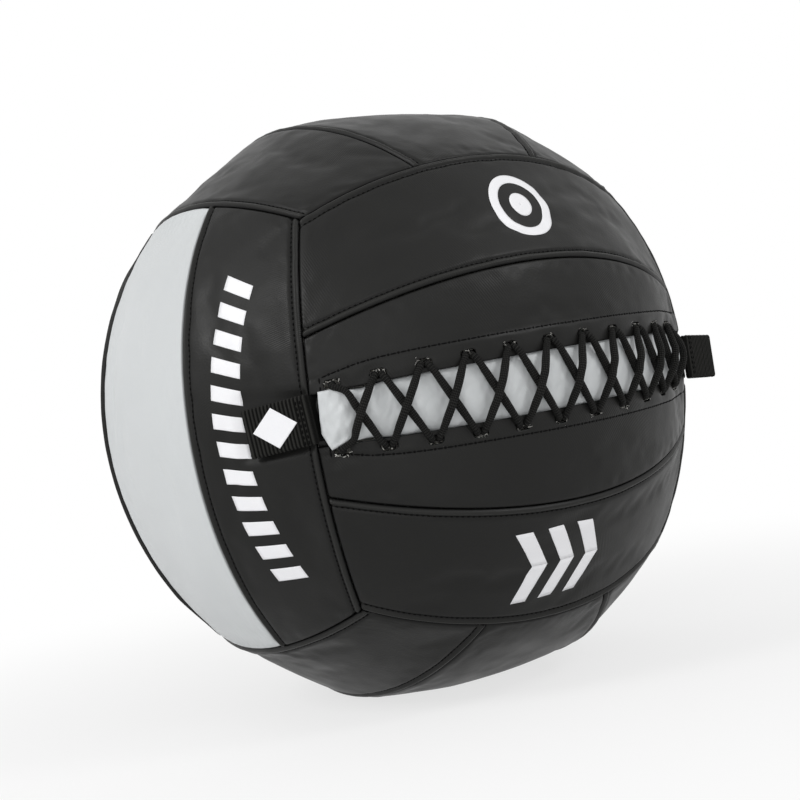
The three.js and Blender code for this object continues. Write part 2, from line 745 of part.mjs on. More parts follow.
const lacePoints = laceRoute();
addPiece('lace', tubeSolid(lacePoints, laceRadius, laceSides), blackBraid);
const laceCheck = leastSelfGap(lacePoints, laceRadius);
console.log(`lace: ${laceCheck.length.toFixed(0)} mm long, least gap to itself ${laceCheck.gap.toFixed(2)}`);

// The tabs turn on the line of the seam. Lying, a tab runs along the side face's strip.
const tabs = [['left_tab', leftFrame, 0], ['right_tab', rightFrame, rightTabLift]];
for (const [name, frame, lift] of tabs) {
  const place = hingePoint(frame);
  const reach = frame.over.clone().applyAxisAngle(frame.axis, lift - stripFall);
  const rise = frame.axis.clone().cross(reach);
  const tab = addPiece(name, tabGeometry(), blackWebbing, wallBall);
  tab.applyMatrix4(frameMatrix(reach, rise, place));
  const tail = addPiece(`${name}_tail`, tailGeometry(0, tabTailDepth - vinylThickness), blackWebbing);
  tail.applyMatrix4(frameMatrix(frame.over, frame.out, place));
}

// Inside the cover.
const mouth = mouthCutter(trenchDepth);
const innerBag = ballSolid(innerBagDepth).subtract(ballSolid(innerBagDepth + innerBagWall)).subtract(mouth);
addPiece('inner_bag', toGeometry(innerBag), liningCloth);

const fibreBall = ballSolid(fibreDepth).subtract(mouth);
const room = bagRoom(fibreClearance);
addPiece('fibre_fill', toGeometry(fibreBall.subtract(room).subtract(wadBlock(wadClearance))), whiteFibre);
addPiece('closing_wad', toGeometry(wadBlock(0).intersect(fibreBall).subtract(room)), whiteFibre);

const weightGroup = new THREE.Group();
weightGroup.position.set(0, 0, centreHeight);
weightGroup.rotation.z = Math.PI;
ballGroup.add(weightGroup);
addPiece('weight_bag', weightBagGeometry(), bagCloth, weightGroup);
addPiece('weight_sand', sandGeometry(), drySand, weightGroup);
addPiece('weight_bag_tie', tieGeometry(), tieNylon, weightGroup);

wallBall.updateMatrixWorld(true);
for (const [name, frame] of tabs) {
  const place = hingePoint(frame).toArray().map((value) => value.toFixed(3));
  const axis = frame.axis.toArray().map((value) => value.toFixed(5));
  console.log(`${name} turns at ${place.join(', ')} about ${axis.join(', ')}`);
}

export default wallBall;
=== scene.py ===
"""A soft, weighted wall ball: sewn vinyl strips, a lace over a silver tongue, and two webbing tabs.

Every length is in metres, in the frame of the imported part: the lacing faces -Y and +Z is up.
"""

import math

import bmesh
import bpy
import numpy as np
from mathutils import Matrix, Quaternion, Vector


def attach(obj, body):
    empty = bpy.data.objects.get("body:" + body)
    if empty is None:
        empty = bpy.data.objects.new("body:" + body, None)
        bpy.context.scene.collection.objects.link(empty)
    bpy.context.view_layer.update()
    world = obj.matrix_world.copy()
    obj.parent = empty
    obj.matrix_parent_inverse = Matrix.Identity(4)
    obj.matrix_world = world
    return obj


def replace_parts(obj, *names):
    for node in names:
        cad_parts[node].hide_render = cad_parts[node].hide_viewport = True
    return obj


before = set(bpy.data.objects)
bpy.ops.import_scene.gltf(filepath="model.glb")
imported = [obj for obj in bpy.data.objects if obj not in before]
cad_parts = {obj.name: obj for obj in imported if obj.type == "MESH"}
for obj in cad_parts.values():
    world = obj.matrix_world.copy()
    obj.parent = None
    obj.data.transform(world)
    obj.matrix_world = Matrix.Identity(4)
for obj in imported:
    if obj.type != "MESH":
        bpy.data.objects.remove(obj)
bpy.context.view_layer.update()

MM = 0.001
SEED = 11

# The ball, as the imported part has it.
BALL_RADIUS = 175 * MM
SEAM_RADIUS = BALL_RADIUS + 2.5 * MM
REST_FLAT_DEPTH = 2.6 * MM
FACE_HALF_ANGLE = math.pi / 4
FACE_HALF_ARC = BALL_RADIUS * FACE_HALF_ANGLE
SEAM_MIDDLE_SHARE = 0.378
SEAM_END_SHARE = 0.33
MIDDLE_PUFF_SHARE = 0.46
OUTER_PUFF_SHARE = 0.2
END_RISE_SHARE = 0.28
PULL_DEPTH = 6 * MM
PULL_REACH = math.radians(28)
PULL_DROP = math.radians(8)
SLACK_DEPTH = 5 * MM
SLACK_REACH = math.radians(45)
SLACK_MIDDLE = np.array([-0.8, 0.482, -0.357])

# The laced mouth: the slot between the two flaps, and the lace's holes.
SLOT_HALF = 15.3 * MM
SLOT_END_NARROWING = 2.5 * MM
SLOT_LIFT = 0.7 * MM
SLOT_CLIMB = 2.3 * MM
HOLE_PAIRS = 11
FIRST_HOLE = 12 * MM
LAST_HOLE = 27.5 * MM
HOLE_FROM_SLOT = 5.7 * MM
HOLE_END_PULL = 2.5 * MM
LACE_RADIUS = 2.1 * MM
LACE_SPACING = 3.6 * MM
LACE_HUMP = 3.9 * MM
LACE_PINCH = 0.84
LACE_LEAN = 2.1 * MM
FIRST_LEAN = 7.0 * MM
LACE_CLEARANCE = 0.4 * MM
LAST_BAR_BULGE = 7 * MM
LAST_BAR_LIFT = 3 * MM
LACE_TAIL = 6 * MM
# The room that the layers leave round the lace, before its first hole and under its deep strands.
LACE_ROOM = 5.15 * MM
VINYL_THICKNESS = 2 * MM
LAYER_GAP = 0.3 * MM
TONGUE_THICKNESS = 1.2 * MM

# The webbing tabs.
TAB_WIDTH = 25 * MM
TAB_LENGTH = 38 * MM
WEBBING_THICKNESS = 1.5 * MM
TAB_THICKNESS = 3.4 * MM
TAB_SEAT_GAP = 0.4 * MM
LEFT_TAB_TILT = math.radians(5)
RIGHT_TAB_TILT = math.radians(3)
RIGHT_TAB_LIFT = math.radians(30)

# How the cover is sewn: the fold into a seam, and the ridge over the turned-in edge with its groove.
SEWN_GAP = 0.22 * MM
FOLD_RADIUS = 1.8 * MM
SKIRT_DEPTH = 3.2 * MM
SHELL_WALL = 1.1 * MM
FLAP_WALL = 1.7 * MM
HOLE_RADIUS = 2.3 * MM
RIDGE_HEIGHT = 0.85 * MM
RIDGE_MIDDLE = 2.1 * MM
RIDGE_SPREAD = 1.35 * MM
OUTLINE_RIDGE = 1.9
STITCH_INSET = 4.3 * MM
STITCH_SINK = 0.95 * MM
STITCH_SPREAD = 1.0 * MM

# Its unevenness: puckers at the seams, gathers in the silver strips, lumps of filling, the corners
# where three strips meet, and the dips at the lace's holes and under the tabs.
PUCKER_HEIGHT = 0.16 * MM
PUCKER_REACH = 8 * MM
END_PUCKER_LENGTH = 7 * MM
SIDE_PUCKER_LENGTH = 11 * MM
PLEAT_PITCH = 5.2 * MM
PLEAT_HEIGHT = 0.7 * MM
LUMP_HEIGHT = 0.55 * MM
LUMP_LENGTH = 55 * MM
LUMP_MARGIN = 30 * MM
CORNER_DIP = 0.9 * MM
CORNER_REACH = 5 * MM
HOLE_DIP = 0.55 * MM
HOLE_DIP_REACH = 4.2 * MM
TAB_PRESS = 1.5 * MM
FAR_TAB_PRESS = 1.2 * MM

# The hems along the slot: how far from its edge the stitches lie, at places along the strip.
HEM_ALONG = [v * MM for v in (-131, -122, -112, -100, -80, 0, 100, 130)]
UPPER_HEM = [v * MM for v in (7.6, 9.4, 11.2, 12.3, 12.7, 12.7, 12.4, 11.0)]
LOWER_HEM = [v * MM for v in (4.0, 5.6, 7.6, 8.8, 9.6, 10.6, 11.4, 10.0)]
HEM_RISE = 0.45 * MM
HEM_SINK = 0.5 * MM
HEM_START = -0.955
HEM_END = 0.985

# Stitches, and the dark discs at their needle holes: thread, and painted shade of the holes.
STITCH_PITCH = 2.9 * MM
STITCH_SHARE = 0.38
THREAD_RADIUS = 0.46 * MM
SEAM_HOLE_RADIUS = 0.3 * MM
HEM_PITCH = 5.2 * MM
HEM_THREAD_RADIUS = 0.42 * MM
HEM_HOLE_RADIUS = 0.85 * MM
HOLE_DISC_HEIGHT = 0.32 * MM

# The film of the prints, the woven mark and the ribs of the webbing.
FILM_LIFT = 0.08 * MM
FILM_THICKNESS = 0.1 * MM
WEAVE_THICKNESS = 0.15 * MM
RIB_PITCH = 2.2 * MM
RIB_HEIGHT = 0.75 * MM
PLY_THICKNESS = WEBBING_THICKNESS - 0.25 * MM

# The cloth simulation of the cover.
CLOTH_STEP = 4.5 * MM
CLOTH_EXCESS = 0.0035
CLOTH_FRAMES = 20
CLOTH_CAP = 2.5 * MM

# The bag of sand, and where the tabs are seated on the seams.
WEIGHT_RADIUS = 67 * MM
STRIP_FALL = (FACE_HALF_ANGLE - math.atan(SEAM_MIDDLE_SHARE)) / 2
TAB_SEAT = SEAM_RADIUS * (1 - math.cos(STRIP_FALL)) * OUTER_PUFF_SHARE + TAB_SEAT_GAP + TAB_THICKNESS / 2
HINGE_RADIUS = SEAM_RADIUS + TAB_SEAT / math.cos(STRIP_FALL)

# The camera stands where the photograph was taken from.
CAMERA_AZIMUTH = math.radians(-31.1)
CAMERA_ELEVATION = math.radians(0.4)
CAMERA_ROLL = math.radians(-9.07)
CAMERA_OFFSET = (1.583 * MM, 1.473 * MM, 941.477 * MM)
CAMERA_LENS_MM = 69.84


def srgb(code):
    """An sRGB hex colour as linear red, green, blue and alpha."""
    parts = [int(code[i : i + 2], 16) / 255 for i in (1, 3, 5)]
    return (*[p / 12.92 if p <= 0.04045 else ((p + 0.055) / 1.055) ** 2.4 for p in parts], 1.0)


def cover_radius(angle, tangent):
    """How far the sewn cover stands from the middle, by the angle along a face and the tangent across it."""
    share = np.minimum(np.abs(angle) / FACE_HALF_ANGLE, 1)
    seam = SEAM_MIDDLE_SHARE + (SEAM_END_SHARE - SEAM_MIDDLE_SHARE) * share**2
    middle = np.abs(tangent) <= seam
    low = np.where(middle, -seam, np.where(tangent > 0, seam, -1))
    high = np.where(middle, seam, np.where(tangent > 0, 1, -seam))
    base = 1 / np.cos(angle)
    low_length = np.hypot(base, low)
    high_length = np.hypot(base, high)
    from_low = (tangent - low) / low_length
    to_high = (high - tangent) / high_length
    place = from_low / (from_low + to_high)
    chord_base = base * ((1 - place) / low_length + place / high_length)
    chord_across = (1 - place) * low / low_length + place * high / high_length
    chord = np.hypot(chord_base, chord_across)
    rise = np.maximum(0, (share - 1 + END_RISE_SHARE) / END_RISE_SHARE) ** 2
    puff = np.where(middle, MIDDLE_PUFF_SHARE, OUTER_PUFF_SHARE)
    puff = puff + (1 - puff) * rise
    return SEAM_RADIUS * (chord + (1 - chord) * puff)


def unit_length(vectors):
    return vectors / np.linalg.norm(vectors, axis=-1, keepdims=True)


PULL_MIDDLE = unit_length(np.array([1, -1, -math.sqrt(2) * math.tan(PULL_DROP)]))


def bell(value, middle, spread):
    return np.exp(-(((value - middle) / spread) ** 2))


def dent(ray, middle, depth, reach):
    """A round hollow: its depth at a ray from the ball's middle."""
    return depth * bell(np.arccos(np.clip(ray @ middle, -1, 1)), 0, reach)


def lace_pull(ray):
    """How far the lace's last turns pull the cover in round the seam where the mouth ends on the right."""
    return dent(ray, PULL_MIDDLE, PULL_DEPTH, PULL_REACH)


def pulled_in(ray):
    """The lace's pull, and the slack of the lower left side, which is filled a little less than the rest."""
    return lace_pull(ray) + dent(ray, SLACK_MIDDLE, SLACK_DEPTH, SLACK_REACH)


CENTRE = np.array([0, 0, float(cover_radius(np.array(0.0), np.array(0.0))) - REST_FLAT_DEPTH])

# The six faces: outwards, along the strips, and across them.
FACES = {
    "front": ((0, -1, 0), (1, 0, 0), (0, 0, 1)),
    "back": ((0, 1, 0), (-1, 0, 0), (0, 0, 1)),
    "left": ((-1, 0, 0), (0, 0, 1), (0, 1, 0)),
    "right": ((1, 0, 0), (0, 0, 1), (0, -1, 0)),
    "top": ((0, 0, 1), (0, 1, 0), (-1, 0, 0)),
    "bottom": ((0, 0, -1), (0, 1, 0), (1, 0, 0)),
}


def direction(face, angle, tangent):
    outward, along, across = (np.array(v, float) for v in FACES[face])
    return unit_length(outward + np.tan(angle)[..., None] * along + np.asarray(tangent)[..., None] * across)


def on_cover(face, angle, tangent, height=0.0):
    """Places on the plain cover, or at a height over it, and the rays to them."""
    ray = direction(face, angle, tangent)
    return ray * (cover_radius(angle, tangent) - pulled_in(ray) + height)[..., None] + CENTRE, ray


def smooth(value, low, high):
    share = np.clip((value - low) / (high - low), 0, 1)
    return share * share * (3 - 2 * share)


def waves(points, length, seed, count=14):
    """Smooth unevenness over a surface, mostly between -1 and 1 and of about one wavelength."""
    draw = np.random.default_rng(SEED + seed)
    total = np.zeros(points.shape[:-1])
    for _ in range(count):
        axis = draw.normal(size=3)
        axis /= np.linalg.norm(axis) * length * draw.uniform(0.7, 1.5)
        total += np.sin(2 * math.pi * (points @ axis + draw.uniform()))
    return total / math.sqrt(count)


def across_angle(angle, tangent):
    """How far round the ball a point lies from the middle line of its face."""
    return np.arctan(tangent * np.cos(angle))


def tangent_at(angle, across):
    return np.tan(across) / np.cos(angle)


def end_distance(side, place, angle, tangent):
    """How far a point lies from a side of its face. place is its tangent along or across."""
    norm = np.sqrt(1 / np.cos(angle) ** 2 + tangent**2)
    return BALL_RADIUS * np.arcsin((1 - side * place) / (math.sqrt(2) * norm))


class FaceEdge:
    """The line where a face ends, across it: side is -1 or 1."""

    def __init__(self, side):
        self.side = side

    def distance(self, angle, tangent):
        return end_distance(self.side, tangent, angle, tangent)

    def tangent(self, angle, distance):
        norm = np.sqrt(1 / np.cos(angle) ** 2 + 1)
        return self.side * (1 - math.sqrt(2) * norm * np.sin(distance / BALL_RADIUS))


class LineEdge:
    """A line along a face at a tangent that line(angle) gives. The strip is on its far side: inward is 1 or -1."""

    def __init__(self, line, inward):
        self.line = line
        self.inward = inward

    def distance(self, angle, tangent):
        edge = across_angle(angle, self.line(angle))
        return self.inward * BALL_RADIUS * (across_angle(angle, tangent) - edge)

    def tangent(self, angle, distance):
        edge = across_angle(angle, self.line(angle))
        return tangent_at(angle, edge + self.inward * distance / BALL_RADIUS)


def seam_line(side):
    def line(angle):
        share = np.abs(angle) / FACE_HALF_ANGLE
        return side * (SEAM_MIDDLE_SHARE + (SEAM_END_SHARE - SEAM_MIDDLE_SHARE) * share**2)

    return line


def slot_half_at(along):
    return SLOT_HALF - SLOT_END_NARROWING * (along / FACE_HALF_ARC) ** 2


def hole_half_at(along):
    return SLOT_HALF + HOLE_FROM_SLOT - (SLOT_END_NARROWING + HOLE_END_PULL) * (along / FACE_HALF_ARC) ** 2


def hole_along(pair):
    pitch = (2 * FACE_HALF_ARC - FIRST_HOLE - LAST_HOLE) / (HOLE_PAIRS - 1)
    return FIRST_HOLE - FACE_HALF_ARC + pair * pitch


def laced_tangent(along, across):
    line = SLOT_LIFT + SLOT_CLIMB * along / FACE_HALF_ARC
    return tangent_at(along / BALL_RADIUS, (line + across) / BALL_RADIUS)


def laced_across(angle, tangent):
    """The other way: how far a point lies from the slot's middle line."""
    line = SLOT_LIFT + SLOT_CLIMB * angle / FACE_HALF_ANGLE
    return BALL_RADIUS * across_angle(angle, tangent) - line


def slot_line(side):
    def line(angle):
        along = angle * BALL_RADIUS
        return laced_tangent(along, side * slot_half_at(along))

    return line


def hem_inset(angle, side):
    """How far a hem's stitches lie from the slot's edge: they bow, and come near it at the left end."""
    return np.interp(angle * BALL_RADIUS, HEM_ALONG, UPPER_HEM if side == 1 else LOWER_HEM)


def fold(distance, radius):
    """The round fold of a strip's edge into its seam."""
    inside = np.clip(radius - distance, 0, radius)
    return np.sqrt(radius**2 - inside**2) - radius


def ridge(distance):
    """The turned-in edge under a topstitched side, and the groove that the stitches pull."""
    crest = RIDGE_HEIGHT * bell(distance, RIDGE_MIDDLE, RIDGE_SPREAD)
    return crest - STITCH_SINK * bell(distance, STITCH_INSET, STITCH_SPREAD)


class Strip:
    """One strip of the cover: its face, its two long edges, and which of them are topstitched."""

    def __init__(self, name, face, low, high, stitched=(), slot_side=0, colour="black"):
        self.name = name
        self.face = face
        self.edges = (low, high)
        self.stitched = stitched
        self.slot_side = slot_side
        self.colour = colour
        self.swell = None

    def end_distances(self, angle, tangent):
        """How far a point lies from the strip's two ends."""
        return [end_distance(side, np.tan(angle), angle, tangent) for side in (-1, 1)]

    def edge_angles(self, angle, inset=0.0):
        """Where the strip's two long edges lie round the ball, or lines at an inset from them."""
        return [across_angle(angle, edge.tangent(angle, inset)) for edge in self.edges]

    def relief(self, angle, tangent, base):
        """How far the sewn surface stands from the plain one."""
        ends = self.end_distances(angle, tangent)
        sides = [edge.distance(angle, tangent) for edge in self.edges]
        near_end, near_side = np.minimum(*ends), np.minimum(*sides)

        def pucker(distance, start, length, seed):
            reach = np.exp(-distance / PUCKER_REACH) * smooth(distance, 0, start)
            return PUCKER_HEIGHT * reach * waves(base, length, seed)

        height = LUMP_HEIGHT * waves(base, LUMP_LENGTH, 1)
        height *= smooth(np.minimum(near_end, near_side), 0, LUMP_MARGIN)
        if self.name.endswith("middle_panel"):
            height -= CORNER_DIP * np.exp(-(near_end + near_side) / CORNER_REACH)
        for number, distance in enumerate(ends):
            height += fold(distance, FOLD_RADIUS) + pucker(distance, 4 * MM, END_PUCKER_LENGTH, 2 + number)
        slot_edge = {1: 0, -1: 1}.get(self.slot_side)
        for number, distance in enumerate(sides):
            if number == slot_edge:
                height += self.hem(angle, tangent, distance)
                continue
            height += fold(distance, FOLD_RADIUS) + pucker(distance, 5 * MM, SIDE_PUCKER_LENGTH, 4 + number)
            if number in self.stitched:
                thick = self.name == "left_back_panel" and number == 0
                height += ridge(distance) * (1 + thick * OUTLINE_RIDGE * smooth(near_end, 8 * MM, 36 * MM))
        if self.colour == "silver":
            height += self.pleats(near_end, BALL_RADIUS * across_angle(angle, tangent), base)
        return height

    def pleats(self, distance, across, base):
        """Short gathers that run from the end seams into a silver strip."""
        wave = np.sin(2 * math.pi * across / PLEAT_PITCH + 1.5 * np.sin(across / (11 * MM)))
        reach = smooth(distance, 0.5 * MM, 4 * MM) * np.exp(-distance / (8 * MM))
        return PLEAT_HEIGHT * reach * wave * (0.7 + 0.5 * waves(base, 26 * MM, 9))

    def pressed(self, angle, tangent, height):
        """Under a tab the strip lies flatter and a little lower, on the right more so towards the tab's end."""
        distance = self.edges[self.face == "right"].distance(angle, tangent)
        beside = np.abs(angle) * BALL_RADIUS - TAB_WIDTH / 2
        past = distance - TAB_LENGTH
        under = (1 - smooth(beside, 4 * MM, 11 * MM)) * (1 - smooth(past, 1 * MM, 9 * MM))
        under = under * smooth(distance, 0.3 * MM, 2 * MM)
        press = TAB_PRESS + (FAR_TAB_PRESS * smooth(distance, 8 * MM, 34 * MM) if self.face == "right" else 0)
        return height * (1 - under) - press * under

    def hem(self, angle, tangent, distance):
        """The doubled hem along the slot: raised as far as its stitches, and drawn in at each hole."""
        inset = hem_inset(angle, self.slot_side)
        height = HEM_RISE * (1 - smooth(distance, inset - 1 * MM, inset + 2 * MM))
        height -= HEM_SINK * bell(distance, inset, 1 * MM)
        height += fold(distance, 0.7 * MM)
        along = angle * BALL_RADIUS
        across = laced_across(angle, tangent)
        for pair in range(HOLE_PAIRS):
            place = hole_along(pair)
            aside = across - self.slot_side * hole_half_at(place)
            away = np.hypot(np.maximum(np.abs(along - place) - LACE_SPACING / 2, 0), aside)
            height -= HOLE_DIP * bell(away, 0, HOLE_DIP_REACH)
        return height

    def points(self, angle, tangent, lift=0.0):
        """Places on the sewn surface, or at a height over it. Nothing reaches under the floor."""
        angle, tangent = np.broadcast_arrays(angle, tangent)
        base, ray = on_cover(self.face, angle, tangent)
        height = self.relief(angle, tangent, base) + lift
        if self.swell is not None:
            height = height + self.swell(angle, tangent)
        if self.name in ("left_front_panel", "right_front_panel"):
            height = self.pressed(angle, tangent, height - lift) + lift
        place = base + ray * height[..., None]
        place[..., 2] = np.maximum(place[..., 2], np.maximum(lift, 0))
        return place

    def normals(self, angle, tangent):
        step = 0.4 * MM / BALL_RADIUS
        angle, tangent = np.broadcast_arrays(angle, tangent)
        ahead = self.points(angle + step, tangent) - self.points(angle - step, tangent)
        aside = self.points(angle, tangent + step) - self.points(angle, tangent - step)
        return unit_length(np.cross(ahead, aside))


def face_strips(face, names, stitched, colours):
    """The three strips of a face, from its low side to its high side."""
    edges = [
        (FaceEdge(-1), LineEdge(seam_line(-1), -1)),
        (LineEdge(seam_line(-1), 1), LineEdge(seam_line(1), -1)),
        (LineEdge(seam_line(1), 1), FaceEdge(1)),
    ]
    strips = []
    for name, (low, high), sides, colour in zip(names, edges, stitched, colours):
        if name:
            strips.append(Strip(name, face, low, high, sides, 0, colour))
    return strips


# The outer strips are topstitched on both long sides, but on the top face the middle strip is.
OUTER_STITCHED = ((0, 1), (), (0, 1))
TOP_STITCHED = ((0,), (0, 1), (1,))
BLACK = ("black",) * 3
SILVER_MIDDLE = ("black", "silver", "black")
STRIPS = [
    *face_strips("front", ("front_lower_panel", None, "front_upper_panel"), OUTER_STITCHED, BLACK),
    *face_strips("back", ("back_lower_panel", "back_middle_panel", "back_upper_panel"), OUTER_STITCHED, BLACK),
    *face_strips("left", ("left_front_panel", "left_middle_panel", "left_back_panel"), OUTER_STITCHED, SILVER_MIDDLE),
    *face_strips(
        "right", ("right_back_panel", "right_middle_panel", "right_front_panel"), OUTER_STITCHED, SILVER_MIDDLE
    ),
    *face_strips("top", ("top_right_panel", "top_middle_panel", "top_left_panel"), TOP_STITCHED, BLACK),
    *face_strips("bottom", ("bottom_left_panel", "bottom_middle_panel", "bottom_right_panel"), OUTER_STITCHED, BLACK),
    Strip("front_upper_flap", "front", LineEdge(slot_line(1), 1), LineEdge(seam_line(1), -1), (), 1),
    Strip("front_lower_flap", "front", LineEdge(seam_line(-1), 1), LineEdge(slot_line(-1), -1), (), -1),
]
STRIP = {strip.name: strip for strip in STRIPS}


def built(name, work):
    """A new mesh from bmesh work."""
    bm = bmesh.new()
    work(bm)
    mesh = bpy.data.meshes.new(name)
    bm.to_mesh(mesh)
    bm.free()
    return mesh


def coordinates(mesh):
    flat = np.empty(len(mesh.vertices) * 3, np.float32)
    mesh.vertices.foreach_get("co", flat)
    return flat.reshape(-1, 3).astype(float)


def set_coordinates(mesh, points):
    mesh.vertices.foreach_set("co", points.astype(np.float32).ravel())
    mesh.update()


def corner_vertices(mesh):
    corners = np.empty(len(mesh.loops), np.int32)
    mesh.loops.foreach_get("vertex_index", corners)
    return corners


def set_crest(mesh, value):
    attribute = mesh.attributes.new("crest", "FLOAT", "POINT")
    attribute.data.foreach_set("value", value.astype(np.float32))


def grid_mesh(name, columns, rows, place, cut):
    """A mesh of columns by rows steps. place(column, row) gives the points, and cut(column, row) the
    places on the flat cut, in metres, which become its UV map."""
    mesh = built(name, lambda bm: bmesh.ops.create_grid(bm, x_segments=columns, y_segments=rows, size=1))
    flat = coordinates(mesh)
    column = np.rint((flat[:, 0] + 1) / 2 * columns).astype(int)
    row = np.rint((flat[:, 1] + 1) / 2 * rows).astype(int)
    set_coordinates(mesh, place(column, row))
    layer = mesh.uv_layers.new(name="cut")
    layer.uv.foreach_set("vector", cut(column, row)[corner_vertices(mesh)].astype(np.float32).ravel())
    return mesh


def grid_numbers(column, row):
    """The grid's own numbers, in place of a flat cut where no material reads one, or to be scaled."""
    return np.stack([column, row], -1)


def linked(name, data):
    """A new object in the scene."""
    made = bpy.data.objects.new(name, data)
    bpy.context.scene.collection.objects.link(made)
    return made


def add_piece(name, mesh, material, body):
    """Links a finished mesh as a piece of the object that rides a body."""
    piece = linked(name, mesh)
    mesh.materials.clear()
    mesh.materials.append(material)
    mesh.polygons.foreach_set("use_smooth", [True] * len(mesh.polygons))
    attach(piece, body)
    return piece


def mesh_of(piece):
    """Removes an object and gives its mesh."""
    mesh = piece.data
    bpy.data.objects.remove(piece)
    return mesh


def apply_modifiers(piece):
    """Turns a piece's modifiers into its mesh."""
    bpy.context.view_layer.update()
    graph = bpy.context.evaluated_depsgraph_get()
    mesh = bpy.data.meshes.new_from_object(piece.evaluated_get(graph), depsgraph=graph)
    piece.modifiers.clear()
    piece.data = mesh
    return piece


def thicken(piece, thickness, offset=-1):
    """Gives a sheet its thickness: inwards, or outwards with an offset of 1."""
    wall = piece.modifiers.new("wall", "SOLIDIFY")
    wall.thickness = thickness
    wall.offset = offset


def combine(piece, tool, operation):
    change = piece.modifiers.new("change", "BOOLEAN")
    change.operation = operation
    change.solver = "EXACT"
    change.object = tool
    return apply_modifiers(piece)


def edit(mesh, work):
    """Runs bmesh work on a mesh."""
    bm = bmesh.new()
    bm.from_mesh(mesh)
    work(bm)
    bm.to_mesh(mesh)
    bm.free()
    mesh.update()
    return mesh


def merged(mesh, distance=1e-6):
    return edit(mesh, lambda bm: bmesh.ops.remove_doubles(bm, verts=bm.verts, dist=distance))


def join_meshes(name, meshes):
    joined = built(name, lambda bm: [bm.from_mesh(mesh) for mesh in meshes])
    for mesh in meshes:
        bpy.data.meshes.remove(mesh)
    return joined


def add_node(tree, kind, inputs=None, **settings):
    """Adds a node with its settings. An input that is a socket is linked, and any other is a value."""
    node = tree.nodes.new(kind)
    for key, value in settings.items():
        setattr(node, key, value)
    for key, value in (inputs or {}).items():
        if isinstance(value, bpy.types.NodeSocket):
            tree.links.new(value, node.inputs[key])
        else:
            node.inputs[key].default_value = value
    return node


def calc(tree, operation, *values, clamp=False):
    """The result of a math node. Each value is a number or a socket."""
    inputs = dict(enumerate(values))
    return add_node(tree, "ShaderNodeMath", inputs, operation=operation, use_clamp=clamp).outputs[0]


def blend(tree, factor, low, high):
    """A colour between two. Each is an sRGB code or a socket."""
    low, high = (srgb(colour) if isinstance(colour, str) else colour for colour in (low, high))
    inputs = {"Factor": factor, "A": low, "B": high}
    return add_node(tree, "ShaderNodeMix", inputs, data_type="RGBA").outputs["Result"]


def noise(tree, place, length, detail, **inputs):
    """Noise with features about as wide as a length."""
    inputs = {"Vector": place, "Scale": 1 / length, "Detail": detail, **inputs}
    return add_node(tree, "ShaderNodeTexNoise", inputs).outputs["Fac"]


def scaled(tree, value, low, high, to_low, to_high, **settings):
    """A value's range, moved to another range."""
    inputs = {"Value": value, "From Min": low, "From Max": high, "To Min": to_low, "To Max": to_high}
    return add_node(tree, "ShaderNodeMapRange", inputs, **settings).outputs[0]


def bump(tree, height, distance, under=None):
    inputs = {"Height": height, "Strength": 1.0, "Distance": distance}
    if under:
        inputs["Normal"] = under
    return add_node(tree, "ShaderNodeBump", inputs).outputs["Normal"]


def cut_places(tree):
    """How far along and across the flat cut a point lies."""
    flat = add_node(tree, "ShaderNodeUVMap", uv_map="cut").outputs["UV"]
    split = add_node(tree, "ShaderNodeSeparateXYZ", {0: flat})
    return split.outputs[0], split.outputs[1]


def object_place(tree):
    return add_node(tree, "ShaderNodeTexCoord").outputs["Object"]


def crest_value(tree):
    return add_node(tree, "ShaderNodeAttribute", attribute_name="crest").outputs["Fac"]


def wire(tree, shader, **sockets):
    for key, value in sockets.items():
        tree.links.new(value, shader.inputs[key.replace("_", " ")])


def new_material(name, roughness, **sockets):
    """A material with one shader. Its constants sit on the shader's own sockets."""
    material = bpy.data.materials.new(name)
    material.use_nodes = True
    shader = material.node_tree.nodes["Principled BSDF"]
    shader.inputs["Roughness"].default_value = roughness
    for key, value in sockets.items():
        shader.inputs[key.replace("_", " ")].default_value = value
    return material, material.node_tree, shader


GRAIN_CELL = 1.1 * MM
TWILL_PITCH = 1.3 * MM
PLAIT_PITCH = 2.4 * MM
PLAITS = 7
WARP_PITCH = 0.75 * MM
PICK_PITCH = 1.1 * MM


